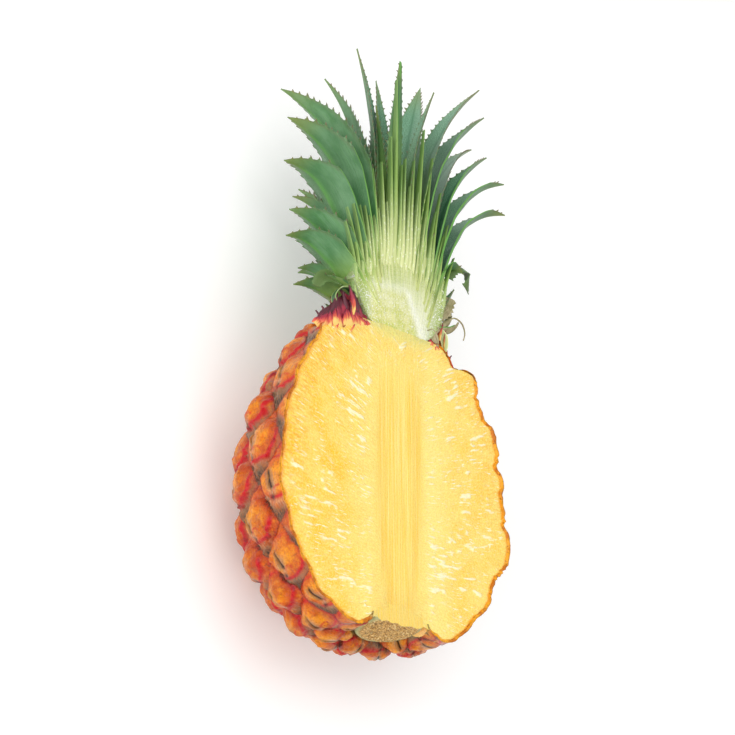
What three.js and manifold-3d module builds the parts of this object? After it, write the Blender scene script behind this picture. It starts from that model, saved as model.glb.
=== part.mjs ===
// A small pineapple cut lengthwise, lying on its rind with the cut face up.
// Millimetres. +Y runs along the fruit from its base to the tips of the crown, +Z is up.
// The fruit's own origin is on its axis, at the base; the whole is then set down on z = 0.
import * as THREE from 'three';
import Module from 'manifold-3d';

const wasm = await Module();
wasm.setup();

// Driving dimensions
const fruitLength = 115.6; // base to neck
const fruitRadius = 49.8; // widest, in the furrows between the eyes
const eyeHeight = 4.4; // how far an eye stands out of the furrows
const rindThickness = 2.2; // in the furrows
const cutHeight = 6.2; // the knife passed this far above the axis
const restHeight = 51.9; // the eye tops below are flattened this far under the axis
const pieceGap = 0.3; // between touching pieces
const coreRadius = 12.4;
const stubRadius = 11.9;
const stubLength = 5.5;
const stubSlant = 0.14; // the stub's end leans back, by this much for each millimetre up
const neckRadius = 19.4;
const crownStemRadius = 22.3;
const crownStemBottom = 110.6;
const crownShift = 2.5; // the crown stands this far off the fruit's axis, towards +X

// The eyes sit on a golden-angle spiral, which makes rows of 8, 13 and 21.
const goldenAngle = 137.508;
const eyeRise = 1.24; // along the surface, from one eye to the next, at the widest
const eyeShrink = 0.4; // how fast that falls with the radius towards the ends
const firstRow = 8;
const secondRow = 13;
const firstRowTurn = 3; // whole turns that a step in each row makes
const secondRowTurn = 5;
const eyeSteps = 4; // faces along each side of an eye
const keyEyeAzimuth = 188.5; // one eye's place, which fixes all the others
const keyEyeAlong = 58;

// The underside is a little fuller towards the crown, so that the half lies level.
const bellyHeight = 3.6;
const bellyAzimuth = 254;
const bellyAlong = 74;
const bellySpread = 20;

const latheSides = 32;
const leafStation = 5.6; // about this much leaf between its rings of points, twice that between teeth
const fewestStations = 8;
const mostStations = 14;
const leafThickness = 0.75; // half, at the midrib's foot
const radians = Math.PI / 180;

// The furrows' outline from the stub's socket round to the neck, as radius and height
// over the widest radius and the length.
const furrowOutline = [
  [0.27, 0.035],
  [0.33, 0.008],
  [0.44, 0.0],
  [0.56, 0.025],
  [0.7, 0.085],
  [0.85, 0.18],
  [0.955, 0.3],
  [1.0, 0.45],
  [0.95, 0.6],
  [0.84, 0.75],
  [0.665, 0.88],
  [0.48, 0.975],
  [0.4, 1.0],
];

const furrowCurve = new THREE.SplineCurve(
  furrowOutline.map(([r, y]) => new THREE.Vector2(r * fruitRadius, y * fruitLength)),
);
furrowCurve.arcLengthDivisions = 400;

// Solids

function solidOf(positions, triangles) {
  return new wasm.Manifold(
    new wasm.Mesh({
      numProp: 3,
      vertProperties: new Float32Array(positions),
      triVerts: new Uint32Array(triangles),
    }),
  );
}

// A body of revolution about Y from a list of [radius, height] that starts and ends on the axis.
// It may stand off the axis along X, and its heights may slant with Z.
function latheSolid(profile, { sides = latheSides, shift = 0, slant = 0 } = {}) {
  const positions = [shift, profile[0][1], 0];
  const rings = profile.slice(1, -1);
  for (const [r, y] of rings) {
    for (let i = 0; i < sides; i += 1) {
      const a = (i / sides) * 2 * Math.PI;
      positions.push(shift + r * Math.cos(a), y + slant * r * Math.sin(a), r * Math.sin(a));
    }
  }
  const last = positions.length / 3;
  positions.push(shift, profile[profile.length - 1][1], 0);
  const at = (ring, i) => 1 + ring * sides + (i % sides);
  const triangles = [];
  for (let i = 0; i < sides; i += 1) {
    triangles.push(0, at(0, i), at(0, i + 1));
    triangles.push(last, at(rings.length - 1, i + 1), at(rings.length - 1, i));
    for (let ring = 0; ring < rings.length - 1; ring += 1) {
      triangles.push(at(ring, i), at(ring + 1, i), at(ring + 1, i + 1));
      triangles.push(at(ring, i), at(ring + 1, i + 1), at(ring, i + 1));
    }
  }
  return solidOf(positions, triangles);
}

function boxSolid(low, high) {
  const box = new THREE.BoxGeometry(high[0] - low[0], high[1] - low[1], high[2] - low[2]);
  box.translate((low[0] + high[0]) / 2, (low[1] + high[1]) / 2, (low[2] + high[2]) / 2);
  box.deleteAttribute('normal');
  box.deleteAttribute('uv');
  const merged = mergeCorners(box);
  return solidOf(merged.positions, merged.triangles);
}

function mergeCorners(geometry) {
  const seen = new Map();
  const positions = [];
  const place = geometry.attributes.position;
  const triangles = Array.from(geometry.index.array, (i) => {
    const key = [place.getX(i), place.getY(i), place.getZ(i)].map((v) => v.toFixed(4)).join();
    if (!seen.has(key)) {
      seen.set(key, positions.length / 3);
      positions.push(place.getX(i), place.getY(i), place.getZ(i));
    }
    return seen.get(key);
  });
  return { positions, triangles };
}

// A profile moved outwards by a distance, its ends kept on the axis.
function grown(profile, distance) {
  return profile.map(([r, y], i) => {
    const before = profile[Math.max(i - 1, 0)];
    const after = profile[Math.min(i + 1, profile.length - 1)];
    if (i === 0) return [0, y - distance];
    if (i === profile.length - 1) return [0, y + distance];
    const along = new THREE.Vector2(after[0] - before[0], after[1] - before[1]).normalize();
    return [r + along.y * distance, y - along.x * distance];
  });
}

// The eyes of the rind

// Steps of the spiral passed at each of many even lengths along the furrow outline.
const outlineLength = furrowCurve.getLength();
const outlineSamples = 400;
const stepsAlong = [0];
for (let i = 1; i <= outlineSamples; i += 1) {
  const r = furrowCurve.getPointAt((i - 0.5) / outlineSamples).x;
  const rise = eyeRise * (r / fruitRadius) ** eyeShrink;
  stepsAlong.push(stepsAlong[i - 1] + outlineLength / outlineSamples / rise);
}
const stepCount = stepsAlong[outlineSamples];

// The fraction of the outline's length at a number of steps, and the other way round.
function fractionAt(steps) {
  const i = Math.max(stepsAlong.findIndex((s) => s >= steps), 1);
  const before = stepsAlong[i - 1];
  return (i - 1 + (steps - before) / (stepsAlong[i] - before)) / outlineSamples;
}

function stepsAt(fraction) {
  const i = Math.min(Math.floor(fraction * outlineSamples), outlineSamples - 1);
  const part = fraction * outlineSamples - i;
  return stepsAlong[i] * (1 - part) + stepsAlong[i + 1] * part;
}

function keyEyeSteps() {
  const samples = Array.from({ length: outlineSamples + 1 }, (_, i) => i / outlineSamples);
  const apart = (u) => Math.abs(furrowCurve.getPointAt(u).y - keyEyeAlong);
  return stepsAt(samples.reduce((best, u) => (apart(u) < apart(best) ? u : best)));
}

const keySteps = keyEyeSteps();

function makeEyes() {
  const eyes = [];
  for (let k = -Math.floor(keySteps); keySteps + k < stepCount; k += 1) {
    const fraction = fractionAt(keySteps + k);
    eyes.push({ azimuth: keyEyeAzimuth - k * goldenAngle, along: fraction * outlineLength });
  }
  return eyes;
}

const eyes = makeEyes();

// Height of the rind over its furrows: 0 halfway between two eyes, full at an eye's middle.
function relief(azimuth, along, radius) {
  const away = eyes.map((eye) => {
    const turn = (azimuth - eye.azimuth) / 360;
    const across = (turn - Math.round(turn)) * 2 * Math.PI * radius;
    return Math.hypot(across, along - eye.along);
  });
  const [nearest, next] = away.sort((a, b) => a - b);
  const inward = (next - nearest) / (next + nearest);
  return eyeHeight * (radius / fruitRadius) ** eyeShrink * (1 - (1 - inward) ** 2);
}

function belly(azimuth, furrow) {
  const across = (azimuth - bellyAzimuth) / 360;
  const aside = (across - Math.round(across)) * 2 * Math.PI * furrow.x;
  return bellyHeight * Math.exp(-(aside ** 2 + (furrow.y - bellyAlong) ** 2) / bellySpread ** 2);
}

// Past either end of the outline the surface runs in to the axis, inside the sockets there.
const endSteps = 20;
const endSink = 4;

function rindPoint(azimuth, steps) {
  const inside = THREE.MathUtils.clamp(steps, 0, stepCount);
  const fraction = fractionAt(inside);
  const furrow = furrowCurve.getPointAt(fraction);
  const beyond = Math.min(Math.abs(steps - inside) / endSteps, 1);
  const along = furrowCurve.getTangentAt(fraction);
  const eye = relief(azimuth, fraction * outlineLength, furrow.x) + belly(azimuth, furrow);
  const height = beyond > 0 ? 0 : eye;
  const r = (furrow.x + along.y * height) * (1 - beyond);
  const inwards = steps < 0 ? endSink : -endSink;
  const y = furrow.y - along.x * height + inwards * beyond;
  return [r * Math.cos(azimuth * radians), y, r * Math.sin(azimuth * radians)];
}

// The rind's outside, meshed along the two rows so that every eye gets the same faces.
function rindOutside() {
  const positions = [...rindPoint(0, -endSteps), ...rindPoint(0, stepCount + endSteps)];
  const known = new Map();
  const around = secondRow * eyeSteps;
  const stepsOf = (i, j) => keySteps + (firstRow * i + secondRow * j) / eyeSteps;

  function corner(i, j) {
    if (stepsOf(i, j) <= -endSteps) return 0;
    if (stepsOf(i, j) >= stepCount + endSteps) return 1;
    const turns = Math.floor(i / around);
    const key = `${i - turns * around} ${j + turns * firstRow * eyeSteps}`;
    if (!known.has(key)) {
      const firstTurn = (360 * firstRowTurn - firstRow * goldenAngle) * (i / eyeSteps);
      const secondTurn = (360 * secondRowTurn - secondRow * goldenAngle) * (j / eyeSteps);
      known.set(key, positions.length / 3);
      positions.push(...rindPoint(keyEyeAzimuth + firstTurn + secondTurn, stepsOf(i, j)));
    }
    return known.get(key);
  }

  const triangles = [];
  const addFace = (...face) => {
    if (new Set(face).size === 3) triangles.push(...face);
  };
  for (let i = 0; i < around; i += 1) {
    const low = Math.floor(((-endSteps - keySteps) * eyeSteps - firstRow * (i + 1)) / secondRow) - 1;
    const high = ((stepCount + endSteps - keySteps) * eyeSteps - firstRow * i) / secondRow;
    for (let j = low; j <= high; j += 1) {
      addFace(corner(i, j), corner(i + 1, j), corner(i + 1, j + 1));
      addFace(corner(i, j), corner(i + 1, j + 1), corner(i, j + 1));
    }
  }
  return solidOf(positions, triangles);
}

// Profiles of the pieces inside, as [radius, height] from the base end to the crown end

function fleshProfile() {
  const rows = 12;
  const points = [];
  for (let i = 0; i <= rows; i += 1) {
    const point = furrowCurve.getPointAt(i / rows);
    const along = furrowCurve.getTangentAt(i / rows);
    points.push([point.x - along.y * rindThickness, point.y + along.x * rindThickness]);
  }
  return [[0, points[0][1] + 1], ...points, [0, crownStemBottom + 7]];
}

const coreProfile = [
  [0, stubLength + 0.6],
  [coreRadius * 0.72, stubLength + 0.6],
  [coreRadius * 0.82, fruitLength * 0.12],
  [coreRadius, fruitLength * 0.35],
  [coreRadius, fruitLength * 0.65],
  [coreRadius * 0.9, fruitLength * 0.88],
  [coreRadius * 0.75, fruitLength * 0.965],
  [0, fruitLength * 0.97],
];

const stubProfile = [
  [0, 0.3],
  [stubRadius * 0.8, 0.5],
  [stubRadius * 0.97, 1.2],
  [stubRadius, 2.2],
  [stubRadius, stubLength],
  [0, stubLength + 0.2],
];

const crownStemProfile = [
  [0, crownStemBottom],
  [crownStemRadius * 0.4, crownStemBottom + 0.6],
  [crownStemRadius * 0.64, crownStemBottom + 2],
  [crownStemRadius * 0.75, crownStemBottom + 4.2],
  [crownStemRadius * 0.84, crownStemBottom + 7.5],
  [crownStemRadius * 0.95, crownStemBottom + 12.5],
  [crownStemRadius, crownStemBottom + 19],
  [crownStemRadius * 0.97, crownStemBottom + 26],
  [crownStemRadius * 0.82, crownStemBottom + 33],
  [crownStemRadius * 0.5, crownStemBottom + 39],
  [0, crownStemBottom + 42],
];

const onCrown = { shift: crownShift };

// The collar that the neck's bracts stand on, seated round the crown stem
const collarProfile = [
  [0, fruitLength - 0.2],
  [neckRadius - 1.2, fruitLength - 0.2],
  [neckRadius + 1, fruitLength + 1.6],
  [neckRadius + 0.2, fruitLength + 3.4],
  [0, fruitLength + 4.2],
];

// What is left after the knife, above the rest plane
const kept = boxSolid([-90, -20, -restHeight], [90, 260, cutHeight]);

// Leaves and bracts

// Half width along a leaf over its widest: clasping at the base, then a long taper to the tip.
function leafTaper(t) {
  const widest = 0.42;
  if (t < widest) return 0.85 + 0.15 * Math.sin((t / widest) * (Math.PI / 2));
  return (1 - ((t - widest) / (1 - widest)) ** 1.7) ** 0.95;
}

// A channelled blade with a keel and a toothed edge. The midrib is a curve in the plane through
// the axis at the azimuth; a lean is measured from straight up the axis.
function bladeSolid(blade) {
  const midrib = midribOf(blade);
  const out = new THREE.Vector3(Math.cos(blade.azimuth * radians), 0, Math.sin(blade.azimuth * radians));
  const side = new THREE.Vector3(-out.z, 0, out.x);
  const up = new THREE.Vector3(0, 1, 0);
  const positions = [];
  const place = (t, across, rise, forward) => {
    const point = midrib.getPoint(t);
    const along = midrib.getTangent(t);
    const r = point.x - along.y * rise + along.x * forward;
    const y = point.y + along.x * rise + along.y * forward;
    const at = new THREE.Vector3(crownShift, 0, 0);
    at.addScaledVector(out, r).addScaledVector(side, across).addScaledVector(up, y);
    positions.push(at.x, at.y, at.z);
  };
  const { stations } = blade;
  const thick = blade.thick ?? leafThickness;
  for (let i = 0; i < stations; i += 1) {
    const t = i / stations;
    const toothed = i % 2 === 1 && t > 0.2;
    const half = blade.halfWidth * leafTaper(t) + (toothed ? blade.tooth : 0);
    const forward = toothed ? blade.tooth : 0;
    const fold = blade.fold * radians;
    const keel = thick * (1 - 0.45 * t);
    place(t, -half * Math.cos(fold), half * Math.sin(fold), forward);
    place(t, 0, keel, 0);
    place(t, half * Math.cos(fold), half * Math.sin(fold), forward);
    place(t, 0, -keel, 0);
  }
  place(1, 0, 0, 0);

  const tip = stations * 4;
  const triangles = [0, 3, 1, 1, 3, 2];
  for (let i = 0; i < stations; i += 1) {
    for (let k = 0; k < 4; k += 1) {
      const a = i * 4 + k;
      const b = i * 4 + ((k + 1) % 4);
      if (i === stations - 1) {
        triangles.push(a, b, tip);
      } else {
        triangles.push(a, b, b + 4, a, b + 4, a + 4);
      }
    }
  }
  return solidOf(positions, triangles);
}

function midribOf({ start, startLean, tip, tipLean }) {
  const from = new THREE.Vector2(...start);
  const to = new THREE.Vector2(...tip);
  const handle = from.distanceTo(to) * 0.4;
  const lean = (degrees) => new THREE.Vector2(Math.sin(degrees * radians), Math.cos(degrees * radians));
  return new THREE.CubicBezierCurve(
    from,
    from.clone().addScaledVector(lean(startLean), handle),
    to.clone().addScaledVector(lean(tipLean), -handle),
    to,
  );
}

// Crown leaves from the innermost to the outermost: azimuth (0 along +X, 180 along -X, 270
// downwards), start [radius, height], lean there, tip [radius, height], lean there, half width.
const crownLeaves = [
  // The upright heart
  [95, [0.5, 138], 1, [7, 228], 5, 5.5],
  [8, [4.5, 136], 3, [20, 223], 20, 4.5],
  [215, [2.5, 136], 1, [6, 210], 4, 5],
  [262, [5, 136], 1, [8, 225], 6, 6],
  [332, [6, 134], 4, [33, 238], 26, 9],
  [236, [6.5, 134], 2, [14, 239], 12, 6],
  [285, [7, 134], 5, [17, 215], 14, 8],
  // The middle ring
  [356, [8, 132], 6, [51, 240], 42, 8],
  [222, [8.5, 132], 5, [26, 223], 30, 10],
  [248, [9.5, 131], 8, [25, 208], 24, 9],
  [310, [9.5, 131], 8, [30, 213], 30, 9],
  [2, [9.5, 130], 10, [48, 223], 46, 11],
  [204, [11, 130], 8, [44, 210], 62, 14],
  [346, [11, 128], 14, [57, 218], 52, 10],
  [270, [12, 127], 12, [30, 190], 34, 10],
  [190, [12.5, 127], 14, [45, 191], 74, 15],
  [3, [12.5, 125], 18, [48, 204], 48, 11],
  [228, [12.5, 124], 18, [36, 176], 48, 10],
  [318, [13, 124], 20, [38, 180], 54, 11],
  [186, [13, 123], 22, [48, 170], 92, 15],
  [4, [13, 122], 20, [56, 194], 66, 11],
  [252, [13, 121], 24, [37, 165], 60, 10],
  // The low, spreading ring
  [209, [13.5, 121], 28, [38, 166], 76, 9],
  [4, [14, 119], 24, [56, 180], 76, 10],
  [340, [14, 119], 28, [44, 160], 74, 9],
  [292, [14, 119], 34, [39, 152], 76, 10],
  [189, [14, 119], 32, [44, 152], 88, 12],
  [236, [14, 118], 36, [37, 143], 84, 9],
  [185, [14, 117], 40, [47, 139], 104, 11],
  [205, [14, 116], 46, [36, 135], 92, 9],
  [6, [14, 116], 26, [34, 145], 165, 8],
  [264, [14, 116], 46, [36, 132], 92, 8],
  [318, [14, 115], 46, [36, 134], 92, 8],
  [191, [14, 114], 50, [41, 123], 104, 9],
  [2, [14, 113], 36, [30, 140], 30, 5],
];

// Leaf bases that the knife sliced through, fused to the crown stem; given as the leaves are
const slicedBases = [
  [90, [2, 132], 2, [10, 200], 8, 6],
  [55, [3, 132], 3, [22, 196], 16, 6],
  [128, [3, 132], 3, [22, 196], 16, 6],
  [28, [7, 128], 6, [30, 190], 24, 7],
  [155, [7, 128], 6, [30, 190], 24, 7],
  [20, [11, 124], 12, [38, 180], 34, 8],
  [162, [11, 124], 12, [38, 180], 34, 8],
];

// Dried scraps of leaf at the neck, outside the others
const driedLeaves = [
  [357, [14.5, 115], 46, [30, 132], -14, 4.5],
  [9, [14.5, 114.6], 58, [29, 124.5], 20, 4],
];

function leafName(index) {
  if (index >= crownLeaves.length) return `dried_leaf_${index - crownLeaves.length + 1}`;
  return `leaf_${String(index + 1).padStart(2, '0')}`;
}

function crownStemSolid() {
  const bases = slicedBases.map((row) => bladeSolid({ ...crownLeaf(row), tooth: 0, stations: 8 }));
  return bases.reduce((all, base) => all.add(base), latheSolid(crownStemProfile, onCrown));
}

// The room that the crown stem and its sliced bases need among the leaves
function crownStemRoomSolid() {
  const bases = slicedBases.map((row) => bladeSolid(roomFor({ ...crownLeaf(row), tooth: 0, stations: 8 })));
  return bases.reduce((all, base) => all.add(base), latheSolid(grown(crownStemProfile, pieceGap), onCrown));
}

function crownLeaf([azimuth, start, startLean, tip, tipLean, halfWidth]) {
  const length = Math.hypot(tip[0] - start[0], tip[1] - start[1]);
  const stations = THREE.MathUtils.clamp(Math.round(length / leafStation), fewestStations, mostStations);
  return { azimuth, start, startLean, tip, tipLean, halfWidth, stations, fold: 27, tooth: 1.2 };
}

// The same leaf with the room it needs round it
function roomFor(blade) {
  const thick = leafThickness + pieceGap * 1.6;
  return { ...blade, thick, halfWidth: blade.halfWidth + pieceGap * 2 };
}

// Each leaf gives way to the leaves inside it.
function crownLeafSolids(taken) {
  let inside = taken;
  return [...crownLeaves, ...driedLeaves].map((row) => {
    const blade = crownLeaf(row);
    const solid = bladeSolid(blade).intersect(kept).subtract(inside);
    inside = inside.add(bladeSolid(roomFor(blade)));
    return largestBody(solid);
  });
}

// Pointed bracts round the neck, in two rows fused to the collar
function neckBracts() {
  let bracts = latheSolid(collarProfile, onCrown);
  const rows = [
    { count: 18, lean: 28, length: 11, halfWidth: 2.7 },
    { count: 16, lean: 64, length: 12, halfWidth: 3.2 },
  ];
  rows.forEach(({ count, lean, length, halfWidth }, row) => {
    for (let i = 0; i < count; i += 1) {
      const azimuth = ((i + row / 2) / count) * 360;
      const reach = length * (1 + 0.18 * Math.sin(i * 2.4));
      const start = [neckRadius - 0.8, fruitLength + 1.2 - row * 0.4];
      const tipLean = lean + 18 * Math.sin(i * 1.7);
      const mean = ((lean + tipLean) / 2) * radians;
      const tip = [start[0] + reach * Math.sin(mean), start[1] + reach * Math.cos(mean)];
      const blade = { azimuth, start, startLean: lean, tip, tipLean, halfWidth, fold: 20, tooth: 0 };
      bracts = bracts.add(bladeSolid({ ...blade, stations: 3, thick: 0.5 }));
    }
  });
  return bracts;
}

// Putting it together

// The largest body of a solid, without the loose scraps that a cut leaves.
function largestBody(solid) {
  return solid.decompose().reduce((best, body) => (body.volume() > best.volume() ? body : best));
}

function makePieces() {
  const core = latheSolid(coreProfile);
  const stub = latheSolid(stubProfile, { slant: stubSlant });
  const coreRoom = latheSolid(grown(coreProfile, pieceGap));
  const stubRoom = latheSolid(grown(stubProfile, pieceGap), { slant: stubSlant });
  const neckRoom = latheSolid(grown(crownStemProfile, pieceGap), onCrown);
  const collarRoom = latheSolid(grown(collarProfile, pieceGap), onCrown);
  const crownRoom = crownStemRoomSolid();
  const flesh = latheSolid(fleshProfile());
  const fleshRoom = latheSolid(grown(fleshProfile(), pieceGap));
  const bracts = neckBracts();
  const lowerRoom = crownRoom.add(bracts).add(collarRoom);

  const pieces = {
    rind: rindOutside().subtract(fleshRoom).subtract(stubRoom).subtract(neckRoom).subtract(collarRoom),
    flesh: flesh.subtract(coreRoom).subtract(stubRoom).subtract(neckRoom).subtract(collarRoom),
    core: core.subtract(neckRoom).subtract(stubRoom),
    stem_stub: stub,
    crown_stem: crownStemSolid(),
    neck_bracts: bracts.subtract(neckRoom),
  };
  crownLeafSolids(lowerRoom).forEach((leaf, i) => {
    pieces[leafName(i)] = leaf;
  });
  return pieces;
}

const colours = {
  rind: [0xc8752a, 0.55],
  flesh: [0xf8cf3c, 0.35],
  core: [0xf3d872, 0.45],
  stem_stub: [0xa98a55, 0.85],
  crown_stem: [0xdfe6a8, 0.4],
  neck_bracts: [0x9c2f3c, 0.6],
  leaf: [0x3f7a48, 0.5],
  dried_leaf: [0x9a7b4f, 0.85],
};

function meshOf(name, solid) {
  const { vertProperties, triVerts } = largestBody(solid.intersect(kept)).getMesh();
  const geometry = new THREE.BufferGeometry();
  geometry.setAttribute('position', new THREE.BufferAttribute(vertProperties, 3));
  geometry.setIndex(new THREE.BufferAttribute(triVerts, 1));
  const [color, roughness] = colours[name] ?? colours[name.replace(/_\d+$/, '')];
  const material = new THREE.MeshStandardMaterial({ color, roughness, metalness: 0 });
  const mesh = new THREE.Mesh(geometry, material);
  mesh.name = name;
  return mesh;
}

function makePineapple() {
  const fruit = new THREE.Group();
  for (const [name, solid] of Object.entries(makePieces())) {
    fruit.add(meshOf(name, solid));
  }
  const box = new THREE.Box3().setFromObject(fruit);
  const middle = box.getCenter(new THREE.Vector3());
  fruit.position.set(-middle.x, -middle.y, -box.min.z);
  const pineapple = new THREE.Group();
  pineapple.add(fruit);
  return pineapple;
}

export default makePineapple();
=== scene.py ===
import math

import bmesh
import bpy
import numpy as np
from mathutils import Matrix, Vector


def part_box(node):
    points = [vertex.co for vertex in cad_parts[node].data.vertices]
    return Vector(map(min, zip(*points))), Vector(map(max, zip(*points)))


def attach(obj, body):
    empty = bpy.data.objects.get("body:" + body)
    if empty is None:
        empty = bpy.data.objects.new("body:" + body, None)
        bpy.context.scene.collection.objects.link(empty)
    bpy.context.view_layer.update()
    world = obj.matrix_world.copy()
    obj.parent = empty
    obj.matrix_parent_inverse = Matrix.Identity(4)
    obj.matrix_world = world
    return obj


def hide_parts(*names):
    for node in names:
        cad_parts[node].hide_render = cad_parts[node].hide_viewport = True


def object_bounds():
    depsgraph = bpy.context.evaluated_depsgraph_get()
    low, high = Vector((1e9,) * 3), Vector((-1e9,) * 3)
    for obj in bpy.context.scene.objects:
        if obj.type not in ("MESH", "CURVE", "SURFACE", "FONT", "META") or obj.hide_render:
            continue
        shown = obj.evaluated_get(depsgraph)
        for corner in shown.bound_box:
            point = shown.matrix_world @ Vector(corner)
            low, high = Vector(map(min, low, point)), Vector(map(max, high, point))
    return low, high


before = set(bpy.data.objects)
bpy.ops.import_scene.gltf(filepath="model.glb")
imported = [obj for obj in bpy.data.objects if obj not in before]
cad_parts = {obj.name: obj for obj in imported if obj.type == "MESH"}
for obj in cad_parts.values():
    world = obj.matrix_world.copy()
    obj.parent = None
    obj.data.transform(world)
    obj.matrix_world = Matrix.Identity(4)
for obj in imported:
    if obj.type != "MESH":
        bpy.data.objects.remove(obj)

lowCad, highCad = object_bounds()
scene = bpy.context.scene
print("frame loaded:", len(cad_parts), "nodes")

# The fruit's own sizes, the same as its solids have
fruit = {
    "length": 115.6,
    "radius": 49.8,
    "cutHeight": 6.2,
    "restHeight": 51.9,
    "coreStart": 6.1,
    "coreRadius": 12.4,
    "stubRadius": 11.9,
    "stubSlant": 0.14,
    "crownShift": 2.5,
    "crownStemRadius": 22.3,
    "crownStemBottom": 110.6,
}
sharpAngle = 50  # edges that turn more than this stay crisp

coreLow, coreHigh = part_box("core")
fruitOrigin = np.array([
    (coreLow.x + coreHigh.x) / 2,
    coreLow.y - fruit["coreStart"] / 1000,
    coreHigh.z - fruit["cutHeight"] / 1000,
])


# small helpers

def smooth(value, low, high):
    share = np.clip((value - low) / (high - low), 0, 1)
    return share * share * (3 - 2 * share)


def dent(value, width):
    return np.exp(-(value / width) ** 2)


def unit(vectors):
    return vectors / np.linalg.norm(vectors, axis=-1, keepdims=True)


def pathLength(path):
    # how far along a chain of points each of them is
    return np.concatenate([[0], np.cumsum(np.linalg.norm(np.diff(path, axis=0), axis=1))])


def facing(azimuth):
    # out from the fruit's axis at an azimuth, and to the side there
    turn = math.radians(azimuth)
    return np.array([math.cos(turn), 0, math.sin(turn)]), np.array([-math.sin(turn), 0, math.cos(turn)])


def latticeValue(column, row, seed):
    # an even scatter from 0 to 1 over whole numbers
    mixed = (column * 374761393 + row * 668265263 + seed * 974634777) & 0xFFFFFFFF
    mixed = ((mixed ^ (mixed >> 13)) * 1274126177) & 0xFFFFFFFF
    return ((mixed ^ (mixed >> 16)) & 0xFFFF) / 65535


def grainNoise(x, y, seed):
    # smooth noise from 0 to 1 with one bump for each whole number
    x, y = np.broadcast_arrays(np.asarray(x, float), np.asarray(y, float))
    column = np.floor(x).astype(np.int64)
    row = np.floor(y).astype(np.int64)
    alongX, alongY = x - column, y - row
    alongX = alongX * alongX * (3 - 2 * alongX)
    alongY = alongY * alongY * (3 - 2 * alongY)
    low, high = [
        latticeValue(column, at, seed) * (1 - alongX) + latticeValue(column + 1, at, seed) * alongX
        for at in (row, row + 1)
    ]
    return low * (1 - alongY) + high * alongY


def gridFaces(rows, columns, start=0, flip=False, closed=False):
    row, column = np.meshgrid(np.arange(rows - 1), np.arange(columns - (not closed)), indexing="ij")
    here = (start + row * columns + column).ravel()
    beside = (start + row * columns + (column + 1) % columns).ravel()
    quads = np.stack([here, beside, beside + columns, here + columns], axis=1)
    return (quads[:, ::-1] if flip else quads).tolist()


def sheetFaces(rows, columns, start=0, flipFar=False):
    # two sheets over one another, joined along every edge
    below = rows * columns
    faces = gridFaces(rows, columns, start) + gridFaces(rows, columns, start + below, flip=True)
    last = start + below - columns
    for first, stop, step, far in (
        (start, last, columns, False), (start + columns - 1, last, columns, True),
        (start, start + columns - 1, 1, False), (last, start + below - 1, 1, True),
    ):
        walls = [[a, a + step, a + below + step, a + below] for a in range(first, stop, step)]
        # the far walls' order sways which side of a leaf Blender's recalculation takes as outside
        faces += [wall[::-1] for wall in walls] if far and flipFar else walls
    return faces


def zipChains(fine, coarse):
    # triangles between two chains of points that run side by side
    faces = []
    i = j = 0
    while i < len(fine) - 1 or j < len(coarse) - 1:
        stepFine = (i + 1) / (len(fine) - 1) if i < len(fine) - 1 else 9
        stepCoarse = (j + 1) / (len(coarse) - 1) if j < len(coarse) - 1 else 9
        if stepFine <= stepCoarse:
            faces.append([fine[i], fine[i + 1], coarse[j]])
            i += 1
        else:
            faces.append([fine[i], coarse[j + 1], coarse[j]])
            j += 1
    return faces


def addPiece(name, points, faces, finish, slot, nodes, marks, grain, cutFinish=None, cutUnder=0.05):
    # makes a mesh from places in the fruit's own millimetres and sets it on the frame
    mesh = bpy.data.meshes.new(name)
    mesh.from_pydata(np.asarray(points, float).tolist(), [], faces)
    for label, values in marks.items():
        layer = mesh.attributes.new(label, "FLOAT", "POINT")
        layer.data.foreach_set("value", np.broadcast_to(np.ravel(values), len(points)).astype(np.float32))
    layer = mesh.attributes.new("grain", "FLOAT_VECTOR", "POINT")
    layer.data.foreach_set("vector", np.ravel(grain).astype(np.float32))
    if cutFinish:
        sliceOff(mesh, cutUnder)
    place = np.empty(len(mesh.vertices) * 3)
    mesh.vertices.foreach_get("co", place)
    place = np.clip(place.reshape(-1, 3) / 1000 + fruitOrigin, lowCad, highCad)
    mesh.vertices.foreach_set("co", place.ravel())
    mesh.update()
    mesh.validate()
    mesh.shade_smooth()
    mesh.set_sharp_from_angle(angle=math.radians(sharpAngle))
    mesh.materials.append(finishes[finish])
    if cutFinish:
        mesh.materials.append(finishes[cutFinish])
    piece = bpy.data.objects.new(name, mesh)
    scene.collection.objects.link(piece)
    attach(piece, "root")
    for node in nodes:
        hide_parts(node)
    return piece


def sliceOff(mesh, under):
    # the knife: takes away what stands over the cut and closes what it opens
    work = bmesh.new()
    work.from_mesh(mesh)
    bmesh.ops.recalc_face_normals(work, faces=work.faces)
    everything = list(work.verts) + list(work.edges) + list(work.faces)
    height = fruit["cutHeight"] - under
    opened = bmesh.ops.bisect_plane(
        work, geom=everything, plane_co=(0, 0, height), plane_no=(0, 0, 1), clear_outer=True,
    )
    edges = [item for item in opened["geom_cut"] if isinstance(item, bmesh.types.BMEdge)]
    filled = bmesh.ops.holes_fill(work, edges=edges, sides=0)
    for face in filled["faces"]:
        face.material_index = 1
    work.to_mesh(mesh)
    work.free()


# materials

def tint(code):
    channels = [int(code[i:i + 2], 16) / 255 for i in (1, 3, 5)]
    return [c / 12.92 if c <= 0.04045 else ((c + 0.055) / 1.055) ** 2.4 for c in channels] + [1]


def tints(**codes):
    return {label: tint(code) for label, code in codes.items()}


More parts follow.
